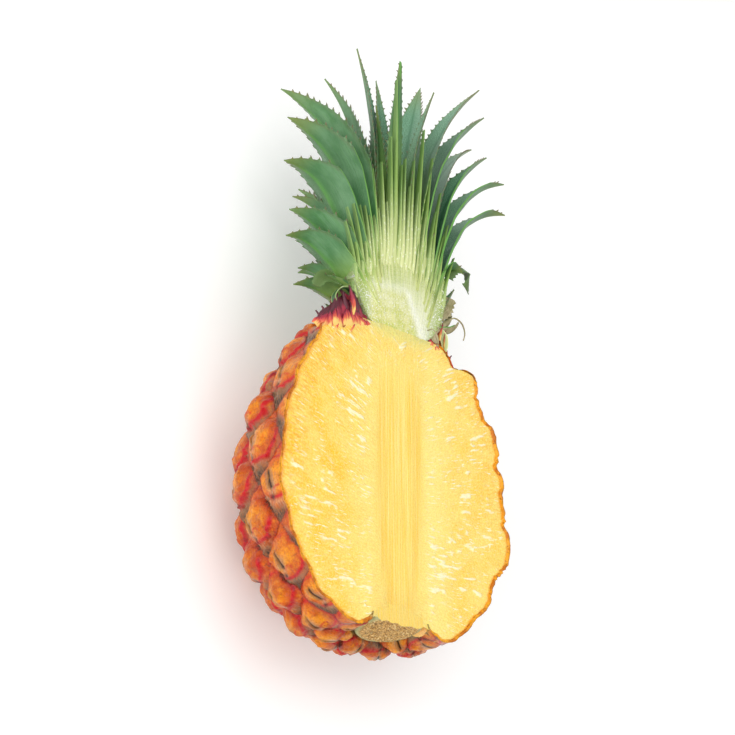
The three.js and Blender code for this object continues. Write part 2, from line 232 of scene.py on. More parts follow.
class Finish:
    # a material that lays colours over a ground, and short ways to make what they lie by
    def __init__(self, name, look=None, ground=None, **sockets):
        self.material = bpy.data.materials.new(name)
        self.material.use_nodes = True
        self.nodes = self.material.node_tree.nodes
        self.links = self.material.node_tree.links
        self.nodes.clear()
        out = self.nodes.new("ShaderNodeOutputMaterial")
        self.shader = self.nodes.new("ShaderNodeBsdfPrincipled")
        self.links.new(self.shader.outputs[0], out.inputs[0])
        self.look = look
        self.base = look[ground] if look else None
        for socket, value in sockets.items():
            self.shader.inputs[socket.replace("_", " ")].default_value = value

    def feed(self, socket, value):
        if isinstance(value, bpy.types.NodeSocket):
            self.links.new(value, socket)
        elif value is not None:
            socket.default_value = value

    def mark(self, label, output="Fac"):
        # a value that the mesh carries at its points
        node = self.nodes.new("ShaderNodeAttribute")
        node.attribute_name = label
        return node.outputs[output]

    def noise(self, vector, stretch, scale, detail, roughness):
        mapping = self.nodes.new("ShaderNodeMapping")
        self.links.new(vector, mapping.inputs["Vector"])
        mapping.inputs["Scale"].default_value = stretch
        node = self.nodes.new("ShaderNodeTexNoise")
        self.links.new(mapping.outputs["Vector"], node.inputs["Vector"])
        for socket, number in (("Scale", scale), ("Detail", detail), ("Roughness", roughness)):
            node.inputs[socket].default_value = number
        return node.outputs["Fac"]

    def streaks(self, first, second, detail=3.0, roughness=0.55):
        # noise stretched over the two directions of the mesh's own grain
        return self.noise(self.mark("grain", "Vector"), (first, second, 1), 1.0, detail, roughness)

    def spots(self, scale, detail=3.0, roughness=0.55, stretch=(1, 1, 1)):
        # even noise in space
        node = self.nodes.new("ShaderNodeTexCoord")
        return self.noise(node.outputs["Object"], stretch, scale, detail, roughness)

    def spread(self, value, low, high, end=1.0, start=0.0):
        node = self.nodes.new("ShaderNodeMapRange")
        node.interpolation_type = "SMOOTHSTEP"
        self.feed(node.inputs["Value"], value)
        for socket, number in (("From Min", low), ("From Max", high), ("To Min", start), ("To Max", end)):
            node.inputs[socket].default_value = number
        return node.outputs["Result"]

    def math(self, kind, first, second):
        node = self.nodes.new("ShaderNodeMath")
        node.operation = kind
        self.feed(node.inputs[0], first)
        self.feed(node.inputs[1], second)
        return node.outputs[0]

    def share(self, *parts):
        # the product of its parts, where a name stands for that mark
        whole = None
        for part in parts:
            part = self.mark(part) if isinstance(part, str) else part
            whole = part if whole is None else self.math("MULTIPLY", whole, part)
        return whole

    def mix(self, share, first, second):
        node = self.nodes.new("ShaderNodeMix")
        node.data_type = "RGBA"
        for socket, value in ((0, share), (6, first), (7, second)):
            self.feed(node.inputs[socket], self.look[value] if isinstance(value, str) else value)
        return node.outputs[2]

    def lay(self, colour, *parts):
        self.base = self.mix(self.share(*parts), self.base, colour)

    def done(self, grain, smoothest, roughest, *bumps):
        # roughness by a grain, and bumps with their depths in metres
        self.feed(self.shader.inputs["Base Color"], self.base)
        self.feed(self.shader.inputs["Roughness"], self.spread(grain, 0.3, 0.7, roughest, smoothest))
        normal = None
        for height, depth in bumps:
            node = self.nodes.new("ShaderNodeBump")
            node.inputs["Distance"].default_value = depth
            self.feed(node.inputs["Height"], height)
            self.feed(node.inputs["Normal"], normal)
            normal = node.outputs["Normal"]
        self.links.new(normal, self.shader.inputs["Normal"])
        return self.material


rindLook = tints(
    orange="#DC6404", yellow="#FFA616", deep="#B02C04", crimson="#CC0A1E", wine="#7A0A18",
    tan="#E2AE86", tanDark="#9A5428", grey="#8A6E52", scuff="#7C4420", brown="#2E170B",
    rim="#F7A81E", rimBrown="#CF7412", crust="#6E3810", collar="#C4B872", collarDark="#85703A",
)


def makeRindFinish():
    f = Finish(
        "pineappleRind", rindLook, "orange", Subsurface_Weight=0.03, Subsurface_Radius=(0.004, 0.0015, 0.0005),
        Specular_IOR_Level=0.12, Coat_Weight=0.36, Coat_Roughness=0.07,
    )
    cloud, fine, blotch = f.spots(210), f.spots(1100, 4, 0.65), f.spots(480, 3, 0.6)
    scuff = f.spots(620, 5, 0.72, (1, 1.6, 1))
    streak, thread = f.streaks(1.5, 0.2, 4, 0.62), f.streaks(3.4, 0.34, 3, 0.7)
    onDomes = f.share("dome", f.spread(blotch, 0.2, 0.6, start=0.3))
    f.lay("yellow", f.math("ADD", onDomes, f.spread(blotch, 0.5, 0.64, 0.4)))
    f.lay("deep", f.spread(cloud, 0.46, 0.62, 0.35))
    # deep red-orange towards each eye's right side, and painted shade in the creases between eyes
    f.lay("deep", "emberAndCreaseShade", f.spread(cloud, 0.3, 0.62, start=0.35))
    f.lay("deep", f.spread(fine, 0.52, 0.72, 0.5))
    f.lay("scuff", f.spread(scuff, 0.54, 0.68, 0.5))
    bract = f.mix(f.spread(thread, 0.38, 0.6), "tanDark", "tan")
    f.lay(bract, "bract", f.spread(streak, 0.34, 0.6, start=0.3))
    # grey papery remains on bracts and slit lips, and painted shade on the eyes' lower-left sides
    f.lay("grey", "ashAndShade", f.spread(thread, 0.3, 0.6, start=0.35))
    f.lay("crimson", "blush", f.spread(cloud, 0.3, 0.7, start=0.5))
    # brown fuzz in the furrows, deepened into painted shade in the creases between eyes and on each eye's
    # lower-left side
    f.lay("brown", "furrowFuzzAndShade", f.spread(thread, 0.4, 0.6, start=0.1))
    red = f.share("crimson", f.spread(fine, 0.2, 0.5, start=0.7))
    f.lay("crimson", red)
    f.lay("wine", red, f.spread(cloud, 0.52, 0.7, 0.8))
    f.lay("brown", "slit")
    rim = f.mix(f.spread(cloud, 0.45, 0.62), "rim", "rimBrown")
    f.lay(f.mix(f.spread(fine, 0.54, 0.68, 0.7), rim, "crust"), "rim")
    f.lay(f.mix(f.spread(fine, 0.4, 0.6), "collar", "collarDark"), "collar")
    bumps = (streak, 0.0006), (thread, 0.0003), (fine, 0.00035), (blotch, 0.0011), (cloud, 0.0006)
    return f.done(fine, 0.24, 0.58, *bumps)


fleshLook = tints(
    yellow="#FCC61C", pale="#FFE884", amber="#F2A80E", white="#FFFAD8", edge="#F09A18",
    core="#FBCF44", corePale="#FFE886", coreEdge="#F0B426", green="#DEDA7C", stubGreen="#DDB248",
)


def makeFleshFinish():
    f = Finish(
        "pineappleFlesh", fleshLook, "yellow", Subsurface_Weight=0.2, Subsurface_Radius=(0.006, 0.0035, 0.001),
        Coat_Weight=0.7, Coat_Roughness=0.05,
    )
    patch, clump = f.streaks(0.09, 0.13, 4, 0.6), f.streaks(0.13, 0.17, 2, 0.5)
    fibre, threads = f.streaks(0.3, 1.5, 4, 0.6), f.streaks(0.02, 1.5, 4, 0.6)
    sac, drop, dashGlint = f.streaks(1.3, 1.6, 3, 0.65), f.streaks(2.2, 2.5, 1, 0.5), f.streaks(0.34, 1.7, 2, 0.5)
    f.lay("pale", "paleness")
    f.lay("pale", f.spread(patch, 0.36, 0.62, 0.5))
    f.lay("pale", f.spread(sac, 0.46, 0.66, 0.6))
    f.lay("amber", f.spread(sac, 0.44, 0.3, 0.4))
    f.lay("amber", "gold", f.spread(fibre, 0.42, 0.66))
    # painted highlights: white and pale glints of the juicy face laid as colour
    f.lay("white", "wet", f.spread(clump, 0.4, 0.62), f.spread(dashGlint, 0.58, 0.66, 0.8))
    f.lay("pale", "wet", f.spread(drop, 0.6, 0.74, 0.6))
    # painted highlights: white on the raised ridges of the cut face
    f.lay("white", f.spread(f.mark("dashGlint"), 0.05, 0.9, 0.75))
    heart = f.mix(f.spread(threads, 0.34, 0.66), "core", "corePale")
    f.lay(f.mix(f.mark("coreEdge"), heart, "coreEdge"), "core")
    f.lay("edge", "rimGlow")
    f.lay("green", "crownward")
    f.lay("stubGreen", "stubward", f.spread(threads, 0.36, 0.6, 0.4, 0.1))
    return f.done(sac, 0.1, 0.36, (fibre, 0.0003), (sac, 0.0002))


heartLook = tints(
    cream="#E6E9C4", pale="#D4DA92", green="#9DB44C", white="#FFFFF6",
    side="#6F9A3C", gold="#E0DE92", lime="#C6CC5C",
)


def makeHeartFinish():
    f = Finish(
        "crownHeart", heartLook, "cream", Subsurface_Weight=0.2, Subsurface_Radius=(0.004, 0.004, 0.0015),
        Coat_Weight=0.5, Coat_Roughness=0.08,
    )
    fibre, speck = f.streaks(0.9, 0.035, 4, 0.6), f.streaks(1.3, 1.3, 3, 0.6)
    patch, beads = f.streaks(0.22, 0.22, 3, 0.6), f.streaks(1.9, 1.3, 1, 0.5)
    f.lay("pale", "tipward")
    f.lay("pale", f.spread(fibre, 0.5, 0.7, 0.3))
    f.lay("green", f.spread(fibre, 0.42, 0.66), "tipward")
    f.lay("green", "flank")
    f.lay("gold", "fruitward")
    f.lay("lime", "fruitward", f.spread(patch, 0.42, 0.58, 0.9))
    f.lay("white", "seam", f.spread(speck, 0.3, 0.6, start=0.5))
    # painted glints: white beads and specks over the heart
    f.lay("white", "sparkle", f.spread(beads, 0.58, 0.66, 0.9))
    f.lay("white", f.spread(f.mark("dashGlint"), 0.3, 1.0, 0.9))
    f.lay("side", "outside")
    return f.done(speck, 0.16, 0.45, (fibre, 0.0005), (speck, 0.0003))


leafLook = tints(
    outer="#427A42", outerPale="#6A9A6A", outerDark="#27592E", inner="#90C09E", innerDark="#2E744A",
    keel="#569A38", tip="#7F8B40", spine="#6B5236", base="#E4E8A8", baseGreen="#A2BE4A",
    wet="#FCFFF0", cutPale="#DEE28C", cutGreen="#62A23C",
)


def makeLeafFinish():
    f = Finish(
        "crownLeaf", leafLook, "outer", Subsurface_Weight=0.04, Subsurface_Radius=(0.001, 0.002, 0.0006),
        Coat_Weight=0.15, Coat_Roughness=0.3,
    )
    vein, cloud = f.streaks(0.05, 2.4, 3, 0.6), f.streaks(0.1, 0.2)
    mealy, beads = f.streaks(2.2, 2.6, 2, 0.7), f.streaks(0.8, 1.5, 1, 0.5)
    f.lay("outerPale", f.spread(cloud, 0.3, 0.7))
    f.lay("keel", f.spread(vein, 0.5, 0.75, 0.4))
    # darker green: painted shade between the sliced bases and over the curled ribbons; on the crown leaves a
    # tone that differs at random from leaf to leaf and a darker middle
    f.lay("outerDark", "shade")
    f.lay("keel", "keel")
    inner = f.mix(f.spread(mealy, 0.35, 0.65), "innerDark", "inner")
    inner = f.mix(f.spread(vein, 0.5, 0.75, 0.35), inner, "innerDark")
    # painted shade: the inner face darkens along the keel's valley, as the fold's shadow
    f.lay(f.mix(f.mark("keel"), inner, "innerDark"), "inside")
    f.lay("tip", "tipward")
    f.lay("baseGreen", "footward", f.spread(vein, 0.3, 0.7, start=0.6))
    f.lay("base", "foot")
    # painted glints: white beads on the leaf feet
    f.lay("wet", "foot", f.spread(beads, 0.6, 0.68, 0.8))
    f.lay("spine", "spine")
    return f.done(mealy, 0.34, 0.58, (vein, 0.00025), (mealy, 0.00012))


def makeLeafCutFinish():
    f = Finish(
        "cutLeaf", leafLook, "cutGreen", Subsurface_Weight=0.1, Subsurface_Radius=(0.002, 0.003, 0.001),
        Coat_Weight=0.3, Coat_Roughness=0.15,
    )
    fibre = f.streaks(0.08, 2.6, 3, 0.6)
    f.lay("cutPale", "footward")
    f.lay("cutGreen", f.spread(fibre, 0.45, 0.7, 0.5))
    return f.done(fibre, 0.25, 0.45, (fibre, 0.0002))


bractLook = tints(cream="#F7CC70", coral="#DA5840", crimson="#A2203A", purple="#5A1A2A")


def makeBractFinish():
    f = Finish(
        "neckBract", bractLook, "cream", Subsurface_Weight=0.08, Subsurface_Radius=(0.003, 0.0012, 0.0006),
        Coat_Weight=0.2, Coat_Roughness=0.25,
    )
    streak = f.streaks(0.25, 2.2, 4, 0.6)
    along = f.math("ADD", f.mark("along"), f.spread(streak, 0.2, 0.8, 0.16, -0.16))
    # cream at the foot through coral and crimson to purple towards the tip and edges: the bracts' own colours,
    # deepened into painted shade at tips and edges where bracts overlap
    for colour, low, high in (("coral", 0.2, 0.44), ("crimson", 0.44, 0.68), ("purple", 0.76, 1.05)):
        f.lay(colour, f.spread(along, low, high))
    return f.done(streak, 0.35, 0.6, (streak, 0.0003))


dryLook = tints(tan="#B8AC86", olive="#908A5C", brown="#5B4026")


def makeDryFinish():
    f = Finish("driedLeaf", dryLook, "tan")
    streak, patch = f.streaks(0.3, 2.0, 4, 0.6), f.streaks(0.25, 0.25)
    f.lay("olive", f.spread(patch, 0.35, 0.65))
    f.lay("brown", f.spread(streak, 0.5, 0.75, 0.8))
    return f.done(streak, 0.6, 0.9, (streak, 0.0004))


stubLook = tints(tan="#EAB866", pale="#FFE8AE", brown="#A87438", dark="#54371C", rim="#C9C68C")


def makeStubFinish():
    f = Finish("stemStub", stubLook, "brown")
    fibre, ring = f.spots(1700, 3, 0.7), f.spots(700, 3, 0.6)
    f.lay("tan", f.spread(fibre, 0.42, 0.52))
    f.lay("pale", f.spread(fibre, 0.54, 0.64))
    f.lay("dark", f.spread(ring, 0.56, 0.68, 0.6))
    f.lay("rim", "rim")
    f.lay("dark", "bark")
    return f.done(fibre, 0.65, 0.92, (fibre, 0.0009), (ring, 0.0009))


finishes = {
    "rind": makeRindFinish(),
    "flesh": makeFleshFinish(),
    "heart": makeHeartFinish(),
    "leaf": makeLeafFinish(),
    "leafCut": makeLeafCutFinish(),
    "bract": makeBractFinish(),
    "dry": makeDryFinish(),
    "stub": makeStubFinish(),
}
print("materials made:", len(finishes))


# the rind

rind = {
    "outline": [
        (0.27, 0.035), (0.33, 0.008), (0.44, 0.0), (0.56, 0.025), (0.7, 0.085), (0.85, 0.18),
        (0.955, 0.3), (1.0, 0.45), (0.95, 0.6), (0.84, 0.75), (0.665, 0.88), (0.48, 0.975), (0.4, 1.0),
    ],  # furrows, as radius and height over the fruit's own
    "eyeHeight": 4.4,
    "eyeRise": 1.24,  # from one eye to the next in the order they grew
    "eyeShrink": 0.4,
    "goldenAngle": 137.508,
    "keyAzimuth": 188.5,
    "keyAlong": 58,
    "buttonWidth": 8.8,
    "buttonLength": 7.0,
    "buttonUp": 1.7,
    "bellyHeight": 3.6,
    "bellyAzimuth": 254,
    "bellyAlong": 74,
    "bellySpread": 20,
    "leftEdge": -187,  # azimuths where the skin meets the cut
    "rightEdge": 7,
    "calmHeight": 0.72,  # over an eye's height, along the cut
    "leftShoulderTorn": 6.4,
    "rightShoulderTorn": 6.0,
    "leftFootTorn": 3.2,
    "rightFootTorn": 1.7,
    "rows": 268,
    "columns": 314,
    "rimWidth": 0.85,
    "innerColumns": 28,
    "deepest": -0.4,
    "innerDepth": 2.6,
}


def splinePoint(controls, share):
    # uniform Catmull-Rom through the controls
    last = len(controls) - 1
    place = share * last
    i = np.minimum(np.floor(place).astype(int), last - 1)
    w = (place - i)[:, None]
    before = controls[np.maximum(i - 1, 0)]
    here, after = controls[i], controls[i + 1]
    beyond = controls[np.minimum(i + 2, last)]
    leave, arrive = (after - before) / 2, (beyond - here) / 2
    cubic = (2 * here - 2 * after + leave + arrive) * w ** 3
    return cubic + (-3 * here + 3 * after - 2 * leave - arrive) * w ** 2 + leave * w + here


outlineControls = np.array(rind["outline"]) * [fruit["radius"], fruit["length"]]
outlineFine = splinePoint(outlineControls, np.linspace(0, 1, 4001))
outlineAlong = pathLength(outlineFine)
outlineLength = outlineAlong[-1]


def furrowAt(along):
    # radius, height and the outline's direction there
    def point(where):
        return [np.interp(where, outlineAlong, outlineFine[:, axis]) for axis in (0, 1)]

    r, y = point(along)
    aheadR, aheadY = point(np.minimum(along + 0.3, outlineLength))
    behindR, behindY = point(np.maximum(along - 0.3, 0))
    size = np.hypot(aheadR - behindR, aheadY - behindY)
    return r, y, (aheadR - behindR) / size, (aheadY - behindY) / size


def placeEyes():
    samples = 400
    middles = (np.arange(samples) + 0.5) / samples * outlineLength
    rise = rind["eyeRise"] * (furrowAt(middles)[0] / fruit["radius"]) ** rind["eyeShrink"]
    steps = np.concatenate([[0], np.cumsum(outlineLength / samples / rise)])
    marks = np.linspace(0, outlineLength, samples + 1)
    key = steps[np.argmin(np.abs(furrowAt(marks)[1] - rind["keyAlong"]))]
    turns = np.arange(-math.floor(key), math.ceil(steps[-1] - key))
    along = np.interp(key + turns, steps, marks)
    return rind["keyAzimuth"] - turns * rind["goldenAngle"], along


eyeAzimuth, eyeAlong = placeEyes()


def aroundFrom(azimuth, target, radius):
    # how far round the fruit, in millimetres, the short way
    turn = (azimuth - target) / 360
    return (turn - np.round(turn)) * 2 * np.pi * radius


def nearestEye(azimuth, along, radius):
    # for each place: its eye, its distance to that and to the next, and its place seen from the eye
    across = aroundFrom(azimuth[:, None], eyeAzimuth[None, :], radius[:, None])
    away = np.hypot(across, along[:, None] - eyeAlong[None, :])
    near = np.argpartition(away, 1, axis=1)[:, :2]
    pick = np.arange(len(azimuth))
    first = np.where(away[pick, near[:, 0]] <= away[pick, near[:, 1]], near[:, 0], near[:, 1])
    second = np.where(first == near[:, 0], near[:, 1], near[:, 0])
    return first, away[pick, first], away[pick, second], -across[pick, first], along - eyeAlong[first]


def rindHeight(azimuth, along, radius, y):
    # how far the skin stands over the furrows, and what it shows there
    eye, near, beyond, right, up = nearestEye(azimuth, along, radius)
    size = (radius / fruit["radius"]) ** rind["eyeShrink"]
    right, up = right / size, up / size
    inward = (beyond - near) / (beyond + near)
    chance = latticeValue(eye, 3, 5)
    other = latticeValue(eye, 9, 8)
    lean = 1.5 * (latticeValue(eye, 7, 6) - 0.5)
    wobble = grainNoise(right * 0.45 + eye * 9.1, up * 0.45, 11) - 0.5

    # the eye's own button, a wide low dome over its bract
    girth = 0.9 + 0.22 * latticeValue(eye, 4, 7)
    buttonX = (right - lean) / rind["buttonWidth"] / girth
    buttonY = (up - rind["buttonUp"]) / rind["buttonLength"] / girth
    reach = np.hypot(buttonX, buttonY) + wobble * 0.09
    bearing = np.degrees(np.arctan2(buttonY, buttonX))
    button = 1 - smooth(reach, 0.93, 1.05)
    dome = np.sqrt(np.maximum(1 - np.minimum(reach / 1.1, 1) ** 2, 0))
    under = (1 - button) * smooth(up, 2.5, -3.5)  # where the bract shows
    keel = dent(right + 1.2, 4.2) * under

    # red lines along the button's foot and brow, and a folded lobe below it
    smile = dent(reach - 1.0, 0.075) * smooth(bearing, -128, -104)
    smile = smile * (1 - smooth(bearing, -28 + 40 * chance, -8 + 40 * chance))
    brow = dent(reach - 1.02, 0.1) * smooth(bearing, 40, 85) * (1 - smooth(bearing, 150, 178))
    brow = brow * (0.35 + 0.65 * other)
    lobeX, lobeY = right - 1.3 - lean, up + 3.0
    fold = dent(np.hypot(lobeX, lobeY * 1.25) - 2.0, 0.36) * smooth(up, -3.2, -1.9)
    foldHill = dent(np.hypot(lobeX, lobeY * 1.2), 1.9)

    # a slit down its left side, with lips, a gap at its end and a pale band beside it
    slitDown = np.clip((5.2 - up) / 7.4, 0, 1)
    slitLine = right + 2.9 - 1.5 * slitDown - lean * 1.2
    slitEnd = smooth(up, -2.8, -1.0) * (1 - smooth(up, 3.8, 5.6))
    slit = dent(slitLine, 0.46 + 0.25 * slitEnd * slitDown) * slitEnd
    lips = dent(np.abs(slitLine) - 1.2, 0.7) * slitEnd
    gap = dent(np.hypot((right + 1.9) * 0.75, up + 4.6), 0.8)
    band = dent(right + 0.6 - 0.25 * up, 1.7) * smooth(up, 4, 0) * button
    ribs = grainNoise(right * 1.2 + eye * 3.3, up * 0.16, 21) - 0.5
    lumps = grainNoise(right * 0.3 + eye * 5.7, up * 0.3, 31) - 0.5
    crumple = np.abs(grainNoise(right * 0.42 + eye * 2.9, up * 0.5 + 7, 33) - 0.5) * 2

    lattice = 1 - (1 - inward) ** 2
    pillow = 1 - (1 - np.clip(inward * 1.15, 0, 1)) ** 3
    height = 0.42 * lattice + 0.2 * pillow + 0.38 * (dome * button + under * (0.22 + 0.3 * keel) * pillow)
    height = rind["eyeHeight"] * (0.78 + 0.5 * other) * height * size
    detail = 0.5 * smile + 0.3 * brow + 0.3 * lips - 1.2 * slit - 0.8 * gap
    detail += 0.35 * foldHill * button + 0.25 * fold
    detail += under * ribs + 1.9 * lumps - 1.5 * crumple * (0.45 + 0.55 * under) + 0.5
    detail -= 0.5 * dent(reach - 1.12, 0.08) * under
    height += detail * smooth(inward, 0.0, 0.12) * size
    aside = aroundFrom(azimuth, rind["bellyAzimuth"], radius)
    height += rind["bellyHeight"] * dent(np.hypot(aside, y - rind["bellyAlong"]), rind["bellySpread"])

    # painted shade: each eye's lower-left side, away from the light above right, and the creases between eyes
    # get darker colours
    shadedLowLeft = smooth(right, 6, -3) * smooth(up, 1, -6)
    crease = 1 - smooth(inward, 0.0, 0.16)
    blush = 0.8 * (1 - smooth(inward, 0.0, 0.1)) * (1 - shadedLowLeft) * (0.3 + 0.7 * other)
    bract = under * smooth(right, 8, 0) * (0.75 + 0.25 * chance) + 0.95 * band * (1 - smile)
    ashAndShade = 0.75 * under * smooth(chance, 0.45, 0.75) + 0.7 * lips + 0.55 * gap
    # painted shade: grey on each eye's lower-left side near the creases
    ashAndShade += 0.8 * shadedLowLeft * smooth(inward, 0.35, 0.1)
    marks = {
        "crimson": np.clip(smile * 1.15 + brow + fold * 0.8, 0, 1),
        "blush": np.clip(blush, 0, 1) + 0.25 * under * smooth(reach, 1.25, 1.05) * chance,
        "dome": button * smooth(reach, 0.95, 0.3),
        # deep red-orange towards the eye's right side, and painted shade in the creases
        "emberAndCreaseShade": button * (0.15 + 0.5 * smooth(right, -1, 5) * (0.4 + 0.6 * other)) + crease * 0.5,
        "slit": np.clip(slit * 1.3 + gap, 0, 1) * smooth(inward, 0.0, 0.1),
        "bract": np.clip(bract, 0, 1),
        "ashAndShade": np.clip(ashAndShade, 0, 1),
        "furrowFuzzAndShade": np.clip(crease * (0.2 + 0.7 * shadedLowLeft) + 0.9 * shadedLowLeft * dent(inward - 0.12, 0.13), 0, 1),
    }
    grain = np.stack([right + eye * 17.3, up, eye * 0.0], axis=1)
    return height, marks, grain


def collarAt(along):
    return (1 - smooth(along, 1.2, 3.0)) * 0.9


def skinAt(azimuth, along):
    r, y, dr, dy = furrowAt(along)
    height, marks, grain = rindHeight(azimuth, along, r, y)
    fade = smooth(along, 0, 2.5) * (1 - smooth(along, outlineLength - 2.5, outlineLength))
    height = height * fade

    def beside(target, width):
        return dent((azimuth - target) * math.pi / 180 * r, width)

    # the knife left a calmer edge along both sides of the cut
    calm = rind["calmHeight"] * rind["eyeHeight"] * (r / fruit["radius"]) ** rind["eyeShrink"] * fade
    edge = beside(rind["leftEdge"], 7.0) * 0.7
    height = height * (1 - edge) + calm * edge
    edge = beside(rind["rightEdge"] - 1, 9.0) * (0.25 + 0.65 * smooth(y, 24, 10))
    height = height * (1 - edge) + calm * (0.1 + 0.7 * smooth(y, 10, 34)) * edge
    # the shoulders are torn lower beside the cut, where the neck's bracts stand
    height -= rind["leftShoulderTorn"] * smooth(y, 101.5, 109) * beside(rind["leftEdge"], 8.0)
    shoulder = 1.3 * dent(y - 100.5, 2.6) - rind["rightShoulderTorn"] * smooth(y, 103.2, 107.2)
    height += shoulder * beside(rind["rightEdge"], 8.0)
    # and so is its foot on both sides of the stub
    foot = rind["leftFootTorn"] * smooth(y, 9, 3) * smooth(r, 15, 24) * beside(rind["leftEdge"], 9.0)
    foot += rind["rightFootTorn"] * smooth(y, 8, 3) * smooth(r, 14, 18) * beside(rind["rightEdge"], 8.0)
    height = np.maximum(height - foot, np.minimum(height, 0.9))
    height = np.where(y < 98, np.maximum(height, rind["deepest"] * fade), height)
    marks["collar"] = collarAt(along)
    return r + dy * height, y - dr * height, marks, grain


def rimSink(y):
    # the rim sinks beside the neck, under the bracts
    return 0.9 * smooth(y, 101, 104)


def buildRind():
    rows, columns, cut = rind["rows"], rind["columns"], fruit["cutHeight"]
    along = np.linspace(0, outlineLength, rows)
    r, furrowY, dr, dy = furrowAt(along)
    right = np.degrees(np.arcsin(cut / r))
    left = -180 - right
    for _ in range(6):  # finds where the skin meets the cut
        right = np.degrees(np.arcsin(cut / skinAt(right, along)[0]))
        left = -180 - np.degrees(np.arcsin(cut / skinAt(left, along)[0]))
    share = np.linspace(0, 1, columns)
    azimuth = right[:, None] * (1 - share) + left[:, None] * share
    radius, y, marks, grain = skinAt(azimuth.ravel(), np.repeat(along, columns))
    angle = np.radians(azimuth.ravel())
    outer = np.stack([radius * np.cos(angle), y, radius * np.sin(angle)], axis=1)
    outer[:, 2] = np.clip(outer[:, 2], -fruit["restHeight"], cut)
    outer = outer.reshape(rows, columns, 3)
    outer[:, [0, -1], 2] = cut - rimSink(outer[:, [0, -1], 1])

    # the rim on the cut, then the inside wall
    taper = smooth(along, 0, 6) * (1 - smooth(along, outlineLength - 6, outlineLength))
    width = rind["rimWidth"] * (0.35 + 0.65 * taper) * (0.8 + 0.5 * grainNoise(along * 0.5, 0, 77))
    rims = []
    for side, edge in ((1, outer[:, 0]), (-1, outer[:, -1])):
        step = np.stack([side * dy, -dr, np.zeros(rows)], axis=1) * width[:, None]
        rims.append([edge - step * part for part in (0.3, 0.65, 1.0)])
        for line in rims[-1]:
            line[:, 2] -= rimSink(line[:, 1])
    innerShare = np.linspace(0, 1, rind["innerColumns"])[1:-1]
    innerAngle = np.radians(right[:, None] * (1 - innerShare) + left[:, None] * innerShare)
    depth = 0.3 + (rind["innerDepth"] - 0.3) * taper
    innerRadius = (r - dy * depth)[:, None]
    innerY = (furrowY + dr * depth)[:, None] * np.ones_like(innerAngle)
    innerZ = np.minimum(innerRadius * np.sin(innerAngle), cut - 0.6)
    inner = np.stack([innerRadius * np.cos(innerAngle), innerY, innerZ], axis=2)
    # one loop for each row: skin, left rim, inside wall from left to right, right rim
    loop = [outer] + [part[:, None] for part in rims[1]] + [inner[:, ::-1]]
    loop = np.concatenate(loop + [part[:, None] for part in rims[0][::-1]], axis=1)
    around = loop.shape[1]
    faces = gridFaces(rows, around, closed=True)
    for row, turn in ((0, 1), (rows - 1, -1)):
        skin = [row * around + i for i in range(columns)]
        wall = [row * around + (around - i) % around for i in range(around - columns + 1)]
        faces += [face[::turn] for face in zipChains(skin, wall)]

    def onSkin(values):
        # what the skin shows, with nothing on the rims and the inside
        grid = np.zeros((rows, around, *values.shape[1:]))
        grid[:, :columns] = values.reshape(rows, columns, *values.shape[1:])
        return grid

    full = {label: onSkin(values) for label, values in marks.items()}
    full["rim"] = np.ones((rows, around))
    full["rim"][:, 1:columns - 1] = 0
    full["collar"] = np.repeat(collarAt(along), around)
    addPiece("rindOfEyes", loop.reshape(-1, 3), faces, "rind", "rind", ["rind"], full, onSkin(grain))
    return rims[1][-1], rims[0][-1]


leftRim, rightRim = buildRind()
print("rind made:", len(eyeAlong), "places for eyes")


# flesh and core

flesh = {
    "rows": 401,
    "columns": 117,
    "coarser": 4,  # steps of the top for one of the underside
    "underCut": 0.42,  # how far the plain face lies under the cut
    "leastUnder": 0.03,
    "stubShare": 0.15,
    "crownShare": 0.965,
    "crownAlong": 112.0,
    "fibreMiddle": 55,
    "fibreLean": 0.24,
    "fibreFan": 0.35,
    "bowlFrom": 700,  # the outline's first point that the underside follows
    "bowlIn": 2.9,
    "bowlUp": 4.3,
}
core = {
    "columns": 41,
    "stations": [(6.1, 0.72), (13.9, 0.82), (40.5, 1.0), (75.1, 1.0), (101.7, 0.9), (111.6, 0.75)],
}  # height, and radius over the core's own
heart = {
    "profile": [
        (0.0, 0.0), (0.4, 0.6), (0.64, 2.0), (0.75, 4.2), (0.84, 7.5), (0.95, 12.5), (1.0, 19),
        (0.97, 26), (0.82, 33), (0.5, 39), (0.0, 42),
    ],  # radius over the stem's own, and height over its bottom
    "left": [(-16.6, 111.6), (-17.6, 116.0), (-19.0, 121), (-20.2, 126), (-20.4, 131), (-20.2, 135)],
    "right": [(19.0, 111.6), (20.9, 118.0), (22.6, 125), (24.2, 131), (25.2, 138), (25.4, 143)],
    "top": [
        (-20.2, 135), (-15.1, 141), (-7.4, 149), (1.9, 154),
        (9.3, 155.5), (15.8, 153.4), (21.8, 148.5), (25.4, 143),
    ],
    "underJunction": 1.4,
    "fanWidth": 44,
    "fanLength": 42,
    "domeLeft": -13.4,
    "domeRight": 10.2,
    "domeFoot": 112.9,
    "domeSlant": 0.42,
    "domeTop": 127.8,
    "rows": 121,
    "columns": 97,
}
heartProfile = np.array(heart["profile"]) * [fruit["crownStemRadius"], 1]


def coreHalf(y):
    spots = np.array(core["stations"])
    radius = np.interp(y, spots[:, 0], spots[:, 1]) * fruit["coreRadius"]
    return np.sqrt(np.maximum(radius ** 2 - fruit["cutHeight"] ** 2, 1))


def junction(x):
    # height of the line on the cut where the fruit ends and the crown's stem begins
    radius = np.hypot(x - fruit["crownShift"] * 0.5, fruit["cutHeight"])
    return fruit["crownStemBottom"] + np.interp(radius, heartProfile[:5, 0], heartProfile[:5, 1])


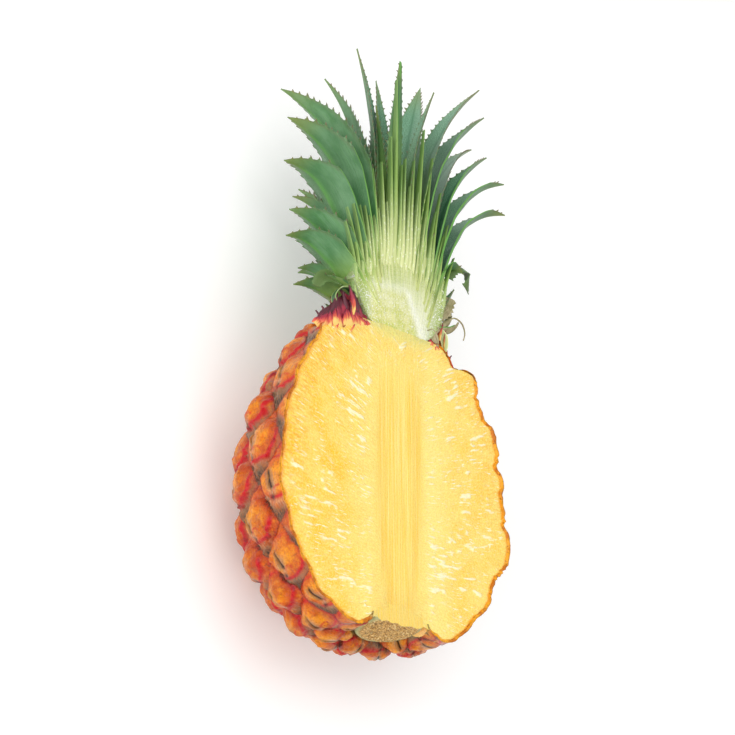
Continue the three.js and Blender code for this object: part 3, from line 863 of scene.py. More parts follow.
def wetDashes(alongFibre, acrossFibre, seed):
    # short juicy ridges that lie along the fibres, where painted highlights are also laid
    bend = 1.4 * grainNoise(alongFibre * 0.2, acrossFibre * 0.2, seed + 2)
    rough = grainNoise(alongFibre * 0.23, acrossFibre * 1.15 + bend, seed)
    ragged = grainNoise(alongFibre * 0.7, acrossFibre * 2.6 + bend, seed + 3)
    clump = grainNoise(alongFibre * 0.16 + 4, acrossFibre * 0.15, seed + 1)
    return smooth(0.72 * rough + 0.28 * ragged, 0.58, 0.8) * smooth(clump, 0.38, 0.62)


def fibreGrain(x, y):
    # how far out along the fibres, and which fibre
    reach = np.abs(x) - 11
    middle = flesh["fibreMiddle"]
    across = middle + (y - middle - flesh["fibreLean"] * reach) / (1 + flesh["fibreFan"] * reach / 40)
    return np.abs(x), across


def slab(name, top, under, finish, node, marks, grain):
    # a solid with a fine top and a coarser underside, closed by a wall
    rows, columns = top.shape[:2]
    coarse = top[::flesh["coarser"], ::flesh["coarser"]].copy()
    coarse[:, :, 2] = under(coarse[:, :, 0], coarse[:, :, 1])
    fewRows, fewColumns = coarse.shape[:2]
    count, extra = rows * columns, fewRows * fewColumns
    faces = gridFaces(rows, columns) + gridFaces(fewRows, fewColumns, count, flip=True)
    topAt = np.arange(count).reshape(rows, columns)
    underAt = count + np.arange(extra).reshape(fewRows, fewColumns)
    for edge in (np.s_[0], np.s_[-1, ::-1], np.s_[:, -1], np.s_[::-1, 0]):
        faces += zipChains(topAt[edge].tolist(), underAt[edge].tolist())
    points = np.concatenate([top.reshape(-1, 3), coarse.reshape(-1, 3)])
    full = {
        label: np.concatenate([values.ravel(), np.full(extra, float(label == "outside"))])
        for label, values in marks.items()
    }
    fullGrain = np.concatenate([grain.reshape(-1, 3), coarse.reshape(-1, 3)])
    piece = addPiece(name, points, faces, finish, node, [node], full, fullGrain)
    work = bmesh.new()
    work.from_mesh(piece.data)
    bmesh.ops.recalc_face_normals(work, faces=work.faces)
    work.to_mesh(piece.data)
    work.free()


def fleshMarks(x, y, rimDistance):
    inCore = 1 - smooth(np.abs(x), coreHalf(y) - 2.4, coreHalf(y) + 1.6)
    coreEdge = dent(np.abs(x) - coreHalf(y) + 2.2, 2.8) * 0.3 + dent(x + 1.5, 3.0) * 0.12
    alongFibre, acrossFibre = fibreGrain(x, y)
    side = np.where(x > 0, 50, 0)
    dashGlints = wetDashes(alongFibre + side, acrossFibre + side, 41)
    away = np.clip(smooth(np.abs(x), 10.5, 15) + smooth(y, 88, 100), 0, 1)
    return {
        "crownward": smooth(junction(x) - y, 8, 0) * (0.75 - 0.45 * smooth(np.abs(x - 2), 10, 20)),
        "stubward": smooth(y, 17, 4) * smooth(np.abs(x), 14, 8),
        "core": inCore * smooth(y, 106, 86),
        "coreEdge": coreEdge * smooth(y, 100, 76),
        "dashGlint": dashGlints * away * smooth(rimDistance, 1.5, 7.0),
        # where painted glints may lie
        "wet": away * smooth(rimDistance, 0.6, 2.0),
        "paleness": smooth(np.abs(x), 30, 13) * (0.5 + 0.2 * smooth(y, 105, 70)) + 0.3 * smooth(x, 8, 16),
        "gold": (0.15 + 0.75 * smooth(rimDistance, 14, 2) * smooth(y, 20, 60)) * (1 - 0.5 * smooth(x, 8, 16)),
        "rimGlow": (1 - smooth(rimDistance, 0.0, 1.6)) * 0.8 * smooth(y, 112, 96),
    }


def fleshTop(x, y, marks, rimDistance):
    grainAlong, grainAcross = fibreGrain(x, y)
    sacs = grainNoise(grainAlong * 0.8 + 3, grainAcross * 1.3, 51) - 0.5
    swell = grainNoise(grainAlong * 0.16, grainAcross * 0.13, 61) - 0.5
    smoothing = 1 - marks["core"] * 0.85
    height = fruit["cutHeight"] - flesh["underCut"] + 0.3 * marks["dashGlint"]
    height += (0.16 * sacs + 0.34 * swell) * smoothing
    height += 0.1 * (grainNoise(x * 1.3, y * 0.04, 71) - 0.5) * marks["core"]
    height -= 0.2 * (1 - smooth(rimDistance, 0, 1.2))
    return np.stack([x, y, np.minimum(height, fruit["cutHeight"] - flesh["leastUnder"])], axis=2)


def bowl(x, y):
    below = outlineFine[flesh["bowlFrom"]:]
    r = np.interp(y, below[:, 1], below[:, 0]) - flesh["bowlIn"]
    return flesh["bowlUp"] - np.sqrt(np.maximum(r ** 2 - x ** 2, 0))


def buildFleshSide(side, rim):
    stubShare, crownShare, crownAlong = flesh["stubShare"], flesh["crownShare"], flesh["crownAlong"]
    share = np.linspace(0, 1, flesh["rows"])
    length = pathLength(rim)
    outerX, outerY = [np.interp(share, length / length[-1], rim[:, axis]) for axis in (0, 1)]
    stubSide = math.sqrt(fruit["stubRadius"] ** 2 - fruit["cutHeight"] ** 2) + 0.1
    innerY = np.interp(share, [0, stubShare, crownShare], [2.6, 6.0, crownAlong])
    innerX = side * np.where(share < stubShare, stubSide, coreHalf(innerY))
    # past the core the inner end follows the junction outwards
    past = np.clip((share - crownShare) / (1 - crownShare), 0, 1)
    endX = side * coreHalf(crownAlong) * (1 - past) + rim[-1, 0] * past
    atCrown = share > crownShare
    innerX = np.where(atCrown, endX, innerX)
    innerY = np.minimum(junction(innerX) + 0.4, np.where(atCrown, outerY, innerY))
    across = np.linspace(0, 1, flesh["columns"])
    x = innerX[:, None] * (1 - across) + outerX[:, None] * across
    y = innerY[:, None] * (1 - across) + outerY[:, None] * across
    rimDistance = np.hypot(outerX - innerX, outerY - innerY)[:, None] * (1 - across)
    marks = fleshMarks(x, y, rimDistance)
    grain = np.stack([*fibreGrain(x, y), np.full_like(x, side * 20.0)], axis=2)
    name = "fleshLeft" if side < 0 else "fleshRight"
    slab(name, fleshTop(x, y, marks, rimDistance), bowl, "flesh", "flesh", marks, grain)
    inside = (share >= stubShare) & (share <= crownShare)
    return innerX[inside], innerY[inside]


def buildCore(edgeX, edgeY):
    spare = (len(edgeX) - 1) % flesh["coarser"]  # so that the underside ends where the top does
    across = np.linspace(-1, 1, core["columns"])
    x = np.abs(edgeX[spare:])[:, None] * across
    y = np.minimum(edgeY[spare:][:, None], junction(x) + 0.4)
    far = np.full_like(x, 30.0)
    marks = fleshMarks(x, y, far)

    def trough(bx, by):
        return -np.sqrt(np.maximum(fruit["coreRadius"] ** 2 * 0.9 - bx ** 2, 0))

    grain = np.stack([y, x, y * 0], axis=2)
    slab("coreStrip", fleshTop(x, y, marks, far), trough, "flesh", "core", marks, grain)


coreEdge = buildFleshSide(-1, leftRim)
buildFleshSide(1, rightRim)
buildCore(*coreEdge)
print("flesh and core made")


# the crown's heart

def curveThrough(controls, share):
    return splinePoint(np.array(controls, float), np.clip(share, 0, 1))


def buildHeart():
    u, v = np.linspace(0, 1, heart["columns"]), np.linspace(0, 1, heart["rows"])
    left, right = curveThrough(heart["left"], v), curveThrough(heart["right"], v)
    top = curveThrough(heart["top"], u)
    bottomX = left[0, 0] * (1 - u) + right[0, 0] * u
    bottom = np.stack([bottomX, junction(bottomX) - heart["underJunction"]], axis=1)
    left[:, 1] += (bottom[0, 1] - left[0, 1]) * (1 - v) ** 3
    right[:, 1] += (bottom[-1, 1] - right[0, 1]) * (1 - v) ** 3
    across, upward = np.meshgrid(u, v)

    def blend(share, first, last):
        return first * (1 - share[..., None]) + last * share[..., None]

    corners = blend(upward, blend(across, bottom[0], bottom[-1]), blend(across, top[0], top[-1]))
    flat = blend(upward, bottom[None], top[None]) + blend(across, left[:, None], right[:, None]) - corners
    x, y = flat[..., 0], flat[..., 1]
    fan = (across - 0.5) * heart["fanWidth"]
    lines = grainNoise(fan * 1.1, upward * 1.6, 81) - 0.5
    specks = grainNoise(fan * 1.5, upward * 44, 91)
    beads = grainNoise(x * 1.7, y * 1.7, 93)
    fromFlank = np.minimum(across, 1 - across)
    # fruit tissue runs up into the crown as a rounded dome, with a white seam over it
    domeLeft = x - heart["domeLeft"]
    domeRight = heart["domeRight"] - heart["domeSlant"] * (y - heart["domeFoot"]) - x
    domeTop = heart["domeTop"] + 0.14 * x - y
    inDome = smooth(domeLeft, -1.4, 2.6) * smooth(domeRight, -1.2, 2.4) * smooth(domeTop, -2.0, 3.4)
    seam = dent(domeRight + 1.0, 1.5 + 1.3 * smooth(y, 124, 112)) * smooth(domeTop, -2, 1)
    seam = np.maximum(seam, 0.5 * dent(domeTop + 0.6, 1.8) * smooth(domeRight, -2, 0) * smooth(domeLeft, -1, 2))
    # specks and beads that take painted white glints, and stand a little proud
    dashGlints = smooth(specks, 0.74, 0.88) * (0.1 + 0.9 * smooth(fromFlank, 0.36, 0.12))
    dashGlints = dashGlints * smooth(upward, 0.95, 0.7) * (1 - inDome)
    dashGlints = np.maximum(dashGlints, smooth(beads, 0.74, 0.88) * inDome * 0.8)
    z = fruit["cutHeight"] - flesh["underCut"] - 0.6 * smooth(upward, 0.09, 0.0)
    z += 0.42 * lines * smooth(upward, 0.2, 0.8) * (1 - inDome) + 0.3 * dashGlints
    z -= 0.9 * smooth(upward, 0.45, 0.75) + 3.0 * smooth(upward, 0.8, 1.0)
    z = np.minimum(z, fruit["cutHeight"] - flesh["leastUnder"])
    marks = {
        "tipward": smooth(upward, 0.25, 0.75),
        "flank": smooth(fromFlank, 0.26, 0.03) * 0.85 * (1 - inDome),
        "fruitward": inDome * (0.4 + 0.6 * smooth(y, 124, 113)),
        "seam": seam * 0.55,
        "sparkle": (0.2 + 0.8 * smooth(fromFlank, 0.34, 0.1) + 0.4 * inDome) * smooth(upward, 0.9, 0.7),
        "dashGlint": dashGlints,
        "outside": 0.7 * smooth(upward, 0.86, 1.0),
    }
    grain = np.stack([fan, upward * heart["fanLength"], np.full_like(x, 7.0)], axis=2)

    def under(bx, by):
        r = np.interp(by - fruit["crownStemBottom"], heartProfile[:, 1], heartProfile[:, 0])
        return -np.sqrt(np.maximum(r ** 2 - (bx - fruit["crownShift"]) ** 2, 0))

    slab("crownHeart", np.stack([x, y, z], axis=2), under, "heart", "crown_stem", marks, grain)


buildHeart()

# Leaf bases that the knife sliced: foot and tip on the cut, width at the foot, depth behind
slicedBases = [
    ((-18.6, 122), (-24.4, 146), 1.9, 7), ((-17.2, 125), (-23.2, 150), 1.5, 7),
    ((-15.6, 127), (-21.0, 156), 2.2, 7), ((-14.0, 130), (-18.2, 158), 1.4, 8),
    ((-12.6, 131), (-16.6, 168), 2.3, 8), ((-11.0, 132), (-14.2, 160), 1.5, 8),
    ((-9.4, 134), (-12.0, 178), 2.3, 8), ((-7.8, 134.6), (-9.6, 166), 1.6, 9),
    ((-6.2, 135), (-7.6, 184), 2.2, 9), ((-4.6, 136), (-5.0, 170), 1.5, 9),
    ((-3.0, 136.4), (-2.6, 196), 2.6, 9), ((-1.0, 137), (0.4, 212), 3.2, 9),
    ((0.9, 137), (2.4, 176), 1.6, 9), ((2.6, 137), (5.0, 196), 2.4, 9),
    ((4.4, 137), (7.2, 182), 1.7, 9), ((6.2, 137), (9.8, 200), 2.5, 9),
    ((7.9, 137), (11.4, 180), 1.7, 9), ((9.6, 136), (14.0, 196), 2.6, 9),
    ((11.4, 135.4), (15.6, 176), 1.7, 8), ((13.0, 134), (18.4, 190), 2.3, 8),
    ((14.8, 133), (20.0, 170), 1.8, 8), ((16.4, 131.6), (22.8, 180), 2.3, 8),
    ((18.0, 130), (24.0, 162), 1.7, 8), ((19.4, 128), (26.4, 168), 2.1, 7),
    ((20.6, 126), (27.0, 154), 1.6, 7), ((21.8, 123), (29.0, 152), 1.9, 7),
]
slicedShape = np.array([
    (-0.5, -1.0), (-0.5, 0.0), (-0.34, 0.6), (-0.12, 0.92), (0.12, 1.0), (0.34, 0.66), (0.5, 0.0), (0.5, -1.0),
])  # round the base, over its width and its rise
slicedStations = 36


def slicedBase(index, foot, tip, width, depth):
    chance, other = latticeValue(index, 2, 19), latticeValue(index, 6, 20)
    foot = np.array(foot, float) - [0, 5 * latticeValue(index, 4, 21)]
    tip = foot + (np.array(tip, float) - foot) * (0.74 + 0.4 * chance)
    t = np.linspace(0, 1, slicedStations)
    bow = np.array([(tip[0] - fruit["crownShift"]) * 0.05, 0])
    path = foot + (tip - foot) * t[:, None] + bow * (t ** 2 - t)[:, None] * 4
    direction = unit(np.gradient(path, axis=0))
    side = np.stack([direction[:, 1], -direction[:, 0]], axis=1)
    wide = width * (0.8 + 0.4 * other) * (1 - 0.97 * smooth(t, 0.05, 1.06)) + 0.12
    crest = fruit["cutHeight"] - 2.2 + 1.2 * smooth(t, 0.02, 0.24 + 0.14 * chance)
    t, crest = t[:, None], crest[:, None]
    across, rise = wide[:, None] * slicedShape[:, 0], slicedShape[:, 1]
    x, y = np.moveaxis(path[:, None] + side[:, None] * across[..., None], 2, 0)
    z = np.where(rise >= 0, crest + 0.9 * rise, crest - depth * (0.42 - 0.34 * t))
    ridge = np.maximum(rise, 0)
    aside = np.maximum(np.abs(x - fruit["crownShift"]) - 8, 0)
    low = smooth(y + 8 * chance + 2.4 * aside, 184, 136)
    marks = {
        "footward": (1 - 0.45 * t) * (0.5 + 0.5 * ridge),
        "foot": low * (0.5 + 0.45 * ridge),
        # painted shade on the strip's sides between the bases
        "shade": (1 - ridge) * (1 - low) * 0.55,
        "tipward": 0,
        "keel": 0,
        "inside": 0,
        "spine": 0,
    }
    grain = np.stack([t * 40 + across * 0, across + rise, np.full_like(across, index * 3.0)], axis=2)
    around = len(slicedShape)
    faces = gridFaces(slicedStations, around, closed=True)
    faces += [list(range(around))[::-1], [(slicedStations - 1) * around + k for k in range(around)]]
    points = np.stack([x, y, z], axis=2).reshape(-1, 3)
    addPiece(f"slicedLeafBase{index + 1:02d}", points, faces, "leaf", "leaf", [], marks, grain)


for index, row in enumerate(slicedBases):
    slicedBase(index, *row)
print("heart made with", len(slicedBases), "sliced leaf bases")


# crown leaves

leaves = {
    "rows": [  # azimuth, start, lean there, tip, lean there, half width, from the innermost
        (95, (0.5, 138), 1, (7, 232.5), 5, 3.9), (8, (4.5, 136), 3, (20, 223), 20, 4.5),
        (215, (2.5, 136), 1, (6, 210), 4, 5), (262, (5, 136), 1, (8, 225), 6, 6),
        (332, (6, 134), 4, (33, 238), 26, 9), (236, (6.5, 134), 2, (14, 239), 12, 6),
        (285, (7, 134), 5, (17, 215), 14, 8), (356, (8, 132), 6, (51, 240), 42, 8),
        (222, (8.5, 132), 5, (26, 223), 30, 10), (248, (9.5, 131), 8, (25, 208), 24, 9),
        (310, (9.5, 131), 8, (30, 213), 30, 9), (2, (9.5, 130), 10, (48, 223), 46, 11),
        (204, (11, 130), 8, (44, 210), 62, 14), (346, (11, 128), 14, (57, 218), 52, 10),
        (270, (12, 127), 12, (30, 190), 34, 10), (190, (12.5, 127), 14, (45, 191), 74, 15),
        (3, (12.5, 125), 18, (48, 204), 48, 11), (228, (12.5, 124), 18, (36, 176), 48, 10),
        (318, (13, 124), 20, (38, 180), 54, 11), (186, (13, 123), 22, (48, 170), 92, 15),
        (4, (13, 122), 20, (56, 194), 66, 11), (252, (13, 121), 24, (37, 165), 60, 10),
        (209, (13.5, 121), 28, (38, 166), 76, 9), (4, (14, 119), 24, (56, 180), 76, 10),
        (340, (14, 119), 28, (44, 160), 74, 9), (292, (14, 119), 34, (39, 152), 76, 10),
        (189, (14, 119), 32, (44, 152), 88, 12), (236, (14, 118), 36, (37, 143), 84, 9),
        (185, (14, 117), 40, (47, 139), 104, 11), (205, (14, 116), 46, (36, 135), 92, 9),
        (6, (14, 116), 24, (33, 146.5), 112, 8), (264, (14, 116), 46, (36, 132), 92, 8),
        (318, (14, 115), 46, (36, 134), 92, 8), (191, (14, 114), 50, (41, 123), 104, 9),
        (2, (14, 113), 36, (30, 140), 30, 5),
    ],
    "fold": 27,
    "driedFold": 34,
    "keelRound": 0.16,
    "thickness": 1.3,
    "stations": 56,
    "columns": 13,
    "spineSpacing": 3.7,
    "spineLength": 1.55,
    "spineStart": 0.22,  # over the leaf's length
    "spineEnd": 0.965,
    "spineHalfThickness": 0.17,
    "edgeWave": 0.05,
    "ripple": 0.09,
    "innermost": 8,  # how many leaves are the inner ones
    "innerPale": (8, 74),  # where the pale foot of an inner leaf fades out, along it
    "outerPale": (5, 26),
    "grainStep": 11.0,  # so that no two leaves share a pattern
}
# A spine's ring (along the leaf's edge, then out from it), its faces, and how dark its points are
spineRing = [(-1.5, 0.0), (-0.4, 0.45), (0.5, 0.85), (0.75, 0.35), (1.1, 0.0)]
spineFaces = [
    [0, 2, 3, 1], [2, 4, 5, 3], [4, 6, 7, 5], [6, 8, 9, 7], [8, 0, 1, 9],
    [0, 2, 8], [2, 6, 8], [2, 4, 6], [9, 3, 1], [9, 7, 3], [7, 5, 3],
    [4, 5, 10], [4, 10, 6], [5, 7, 10], [6, 10, 7],
]
spineDark = [0.05, 0.05, 0.3, 0.3, 0.8, 0.8, 0.3, 0.3, 0.05, 0.05, 1]


def bezier(start, startLean, tip, tipLean, share):
    # places and directions along a midrib that leaves and arrives at the two leans
    start, tip = np.array(start, float), np.array(tip, float)
    handle = np.linalg.norm(tip - start) * 0.4

    def reach(lean):
        return np.array([math.sin(math.radians(lean)), math.cos(math.radians(lean))]) * handle

    second, third = start + reach(startLean), tip - reach(tipLean)
    w = share[:, None]
    place = start * (1 - w) ** 3 + 3 * second * w * (1 - w) ** 2 + 3 * third * w ** 2 * (1 - w) + tip * w ** 3
    slope = (second - start) * (1 - w) ** 2 + 2 * (third - second) * w * (1 - w) + (tip - third) * w ** 2
    return place, unit(slope)


def leafTaper(t):
    widest = 0.42
    clasp = 0.85 + 0.15 * np.sin(np.minimum(t / widest, 1) * np.pi / 2)
    run = (1 - np.clip((t - widest) / (1 - widest), 0, 1) ** 1.7) ** 0.95
    return np.where(t < widest, clasp, run)


def standing(mid, slope, azimuth, rise, across):
    # turns a midrib, a rise over it and a width across it into places round the fruit's axis
    out, side = facing(azimuth)
    r = mid[:, 0:1] + slope[:, 1:2] * rise
    y = mid[:, 1:2] - slope[:, 0:1] * rise
    return out * r[..., None] + side * across[..., None] + np.array([0, 1, 0]) * y[..., None]


def leafSpines(index, edge, rim, t, length, half, slope, azimuth, fold):
    # hooked spines along one edge, pointing to the tip: how far along each is, and its points
    out, side = facing(azimuth)
    up = np.array([0, 1, 0])
    place = length[-1] * leaves["spineStart"] + leaves["spineSpacing"] * (0.4 if edge > 0 else 0)
    number = 0
    while place < length[-1] * leaves["spineEnd"]:
        number += 1
        chance = latticeValue(index * 50 + number, edge + 4, 17)
        share = np.interp(place, length, t)
        base = np.array([np.interp(place, length, rim[:, axis]) for axis in range(3)])
        run, climb = unit(np.array([np.interp(place, length, slope[:, axis]) for axis in (0, 1)]))
        forward = out * run + up * climb
        outward = side * edge * math.cos(fold) + (up * run - out * climb) * math.sin(fold)
        size = leaves["spineLength"] * (0.75 + 0.5 * chance) * min(1.0, 0.35 + np.interp(share, t, half) / 7)
        thick = np.cross(outward, forward) * leaves["spineHalfThickness"]
        points = [
            base + forward * (along * 0.62 * size) + outward * (away * size * 0.8 - 0.25) + thick * layer
            for along, away in spineRing for layer in (1, -1)
        ]
        yield share, place, points + [base + outward * size * 0.78 + forward * size * 0.75]
        place += leaves["spineSpacing"] * (0.75 + 0.5 * chance) * (1 - 0.3 * share)


def leafBlade(index, row, name, node, dried=False):
    azimuth, start, startLean, tip, tipLean, halfWidth = row
    stations, columns = leaves["stations"], leaves["columns"]
    t = 1 - (1 - np.linspace(0, 1, stations)) ** 1.15
    c = np.linspace(-1, 1, columns)
    mid, slope = bezier(start, startLean, tip, tipLean, t)
    length = pathLength(mid)
    fold = math.radians(leaves["driedFold"] if dried else leaves["fold"])
    half = halfWidth * leafTaper(t)
    edgeWave = (grainNoise(t * 14 + index * 7, index, 101) - 0.5) * leaves["edgeWave"]
    ripple = (grainNoise(t[:, None] * 9 + index * 3, c * 1.2 + index, 111) - 0.5) * leaves["ripple"]

    def surface(lift):
        across = half[:, None] * c * math.cos(fold) * (1 + edgeWave[:, None])
        rounded = np.sqrt(c ** 2 + leaves["keelRound"] ** 2) - leaves["keelRound"]
        rise = half[:, None] * (rounded * math.sin(fold) + ripple * smooth(t, 0.25, 0.6)[:, None])
        thin = leaves["thickness"] * (1 - 0.72 * np.abs(c) ** 1.4) * (1 - 0.5 * t[:, None])
        # the leaf folds towards the fruit's axis
        place = standing(mid, -slope, azimuth, rise + lift * thin / 2, across)
        place[..., 0] += fruit["crownShift"]
        return place

    top, bottom = surface(1), surface(-1)
    points = [top.reshape(-1, 3), bottom.reshape(-1, 3)]
    faces = sheetFaces(stations, columns, flipFar=True)
    alongGrid, acrossGrid = np.meshgrid(t, c, indexing="ij")
    lengthGrid = np.repeat(length[:, None], columns, axis=1)
    tone = latticeValue(index, 9, 13)
    pale = leaves["innerPale"] if index < leaves["innermost"] else leaves["outerPale"]
    single = {
        "tipward": smooth(alongGrid, 0.8, 1.0) * (0.4 + 0.5 * tone),
        "keel": dent(acrossGrid, 0.12) * smooth(alongGrid, 0.1, 0.3) * 0.8,
        "foot": (1 - smooth(lengthGrid, 2, 12)) * (0 if dried else 0.9),
        "footward": (1 - smooth(lengthGrid, *pale)) * (0 if dried else 0.9),
        # a tone that differs at random from leaf to leaf, and darker along the middle
        "shade": 0.55 * tone * smooth(alongGrid, 0.1, 0.5) + 0.3 * dent(acrossGrid, 0.3),
        "spine": smooth(np.abs(acrossGrid), 0.93, 1.0) * smooth(alongGrid, 0.2, 0.35) * 0.3,
    }
    marks = {label: [np.tile(values.ravel(), 2)] for label, values in single.items()}
    marks["inside"] = [np.repeat([1.0, 0.0], stations * columns)]
    pattern = index * leaves["grainStep"]
    one = np.stack([lengthGrid, half[:, None] * acrossGrid, np.full_like(alongGrid, pattern)], axis=2)
    grain = [one.reshape(-1, 3), one.reshape(-1, 3) + [0, 30, 0]]
    count = 2 * stations * columns
    for edge, column in ((-1, 0), (1, columns - 1)):
        rim = (top[:, column] + bottom[:, column]) / 2
        for share, place, spine in leafSpines(index, edge, rim, t, length, half, slope, azimuth, fold):
            points.append(spine)
            faces += [[count + corner for corner in face] for face in spineFaces]
            onSpine = {"spine": spineDark, "tipward": smooth(share, 0.8, 1.0)}
            for label, parts in marks.items():
                parts.append(np.zeros(len(spine)) + onSpine.get(label, 0))
            grain.append(np.tile([place, 3.0, pattern], (len(spine), 1)))
            count += len(spine)
    marks = {label: np.concatenate(parts) for label, parts in marks.items()}
    finish, slot = ("dry", "dried_leaf") if dried else ("leaf", "leaf")
    addPiece(name, np.concatenate(points), faces, finish, slot, [node], marks, np.concatenate(grain), "leafCut")


for index, row in enumerate(leaves["rows"]):
    leafBlade(index, row, f"crownLeaf{index + 1:02d}", f"leaf_{index + 1:02d}")
print("crown leaves made:", len(leaves["rows"]))


# the stub of the stem

stub = {
    "rings": 26,
    "around": 84,
    "profile": [(0.0, 0.5), (0.8, 0.62), (0.95, 1.1), (1.0, 2.2), (1.0, 7.0)],  # radius share and height
    "bumps": 1.1,
    "lift": 0.35,
    "cutUnder": 0.4,
}


def buildStub():
    rings, around, radius = stub["rings"], stub["around"], fruit["stubRadius"]
    shape = np.array(stub["profile"]) * [radius, 1]
    length = pathLength(shape)
    share = np.linspace(0, 1, rings)
    radii, heights = [np.interp(share, length / length[-1], shape[:, axis]) for axis in (0, 1)]
    angle, r = np.meshgrid(np.linspace(0, 2 * np.pi, around, endpoint=False), np.maximum(radii, 0.05))
    x, z = r * np.cos(angle), r * np.sin(angle)
    bumps = grainNoise(x * 0.9 + 40, z * 0.9 + 40, 121) - 0.5
    onEnd = smooth(r, radius * 0.97, radius * 0.8)
    y = heights[:, None] + bumps * stub["bumps"] * onEnd + stub["lift"]
    points = np.stack([x, y + fruit["stubSlant"] * z, z], axis=2).reshape(-1, 3)
    faces = [[a, d, c, b] for a, b, c, d in gridFaces(rings, around, closed=True)]
    faces += [list(range(around))[::-1], [(rings - 1) * around + k for k in range(around)]]
    marks = {
        "rim": smooth(r, radius * 0.82, radius * 0.93) * (1 - smooth(y, 2.6, 3.4)),
        "bark": smooth(y, 2.4, 3.6) * 0.8,
        "core": 1,
        "stubward": smooth(y, 17, 4),
        "crownward": 0,
    }
    grain = points[:, [1, 0, 2]] * [1, 1, 0]
    node = "stem_stub"
    addPiece("stemStub", points, faces, "stub", node, [node], marks, grain, "flesh", stub["cutUnder"])


buildStub()

# bracts at the neck

bracts = {
    "rows": [  # how many round, radius and height of the feet, lean there and at the tip, length, half width
        (24, 31.0, 104.6, -42, 8, 8.5, 3.1), (23, 27.4, 108.6, -30, 18, 8.8, 3.0),
        (21, 23.6, 111.8, -12, 26, 8.6, 2.9), (19, 20.6, 114.0, 6, 30, 8.2, 2.7),
    ],
    "fringe": [  # azimuth, radius and height of the foot, lean there and at the tip, length, half width
        (171, 31.5, 101.5, -30, 0, 9.5, 2.3), (176, 27.5, 103.2, -34, -8, 10.5, 2.4),
        (169, 24.0, 105.0, -26, -4, 11.0, 2.2), (177, 20.6, 106.4, -22, 0, 11.5, 2.3),
        (168, 17.6, 107.6, -14, -2, 11.0, 2.1), (182, 30.0, 103.4, -38, 6, 9.5, 2.6),
        (186, 26.0, 105.6, -32, 10, 10.0, 2.6), (184, 22.6, 107.4, -24, 14, 10.0, 2.5),
        (192, 29.0, 105.0, -40, 4, 9.0, 2.7), (196, 25.0, 107.6, -30, 16, 9.5, 2.7),
        (188, 19.6, 109.2, -16, 10, 9.5, 2.4), (203, 28.5, 106.4, -40, 10, 8.5, 2.7),
    ],
    "sliced": [  # foot on the face, way it points, length, half width, how far on its colours are
        (-36.8, 102.0, 4.6, -40, 8.5, 2.3, 0.3), (-34.4, 102.4, 5.2, -26, 9.2, 2.4, 0.22),
        (-31.8, 103.0, 5.6, -13, 8.6, 2.3, 0.1), (-29.2, 103.6, 5.8, -4, 9.2, 2.2, 0.0),
        (-26.8, 104.2, 5.8, 3, 8.0, 2.1, -0.06), (-24.4, 104.9, 5.9, -7, 8.8, 2.2, 0.0),
        (-22.0, 105.4, 5.9, 6, 8.4, 2.1, -0.1), (-19.8, 106.0, 5.9, 13, 8.2, 1.9, 0.0),
        (-17.8, 106.6, 5.8, 24, 8.8, 1.7, 0.06), (-15.8, 107.2, 5.8, 33, 8.8, 1.5, 0.1),
        (-14.0, 107.8, 5.7, 42, 8.2, 1.3, 0.12), (-12.6, 108.6, 5.6, 46, 6.4, 1.1, 0.2),
        (-33.4, 104.6, 3.4, -34, 11.0, 2.9, 0.5), (-30.0, 105.4, 3.8, -18, 12.2, 2.8, 0.42),
        (-26.6, 106.2, 4.0, -5, 12.4, 2.7, 0.46), (-23.2, 107.2, 4.0, 5, 12.2, 2.6, 0.4),
        (-20.2, 108.2, 4.2, 15, 11.6, 2.5, 0.44), (-17.4, 109.2, 4.4, 26, 10.8, 2.2, 0.36),
        (-15.4, 110.2, 4.6, 33, 9.4, 1.9, 0.34), (-17.4, 110.6, 4.6, 12, 10.6, 1.9, 0.55),
        (-15.9, 109.4, 5.0, 16, 11.0, 1.7, 0.42), (-18.8, 111.6, 4.0, 6, 10.4, 2.1, 0.66),
        (-24.6, 109.4, 2.6, -16, 10.8, 2.6, 0.62), (-28.4, 108.2, 2.2, -24, 10.4, 2.6, 0.62),
        (-20.6, 110.6, 3.0, 8, 9.6, 2.4, 0.6), (19.4, 107.6, 5.6, 16, 4.6, 1.3, 0.0),
        (21.6, 106.6, 5.6, 4, 4.4, 1.3, 0.08), (23.6, 105.4, 5.4, -10, 4.2, 1.2, 0.1),
        (17.2, 108.6, 5.7, 26, 4.6, 1.1, -0.05),
    ],
    "stations": 12,
    "columns": 9,
}


def addBracts(name, nodes, sheets, cutFinish=None):
    # makes one piece of many bracts, each of them two sheets of points, colour marks and grain
    points, along, grain = [np.concatenate(part) for part in zip(*sheets)]
    faces = []
    for start in range(0, len(points), 2 * bracts["stations"] * bracts["columns"]):
        faces += sheetFaces(bracts["stations"], bracts["columns"], start)
    addPiece(name, points, faces, "bract", "neck_bracts", nodes, {"along": along}, grain, cutFinish)


def bractSheet(place, along, reach, across, t, pattern):
    grain = np.stack([np.broadcast_to(t * reach, across.shape), across, np.full_like(across, pattern)], axis=2)
    return place.reshape(-1, 3), along.ravel(), grain.reshape(-1, 3)


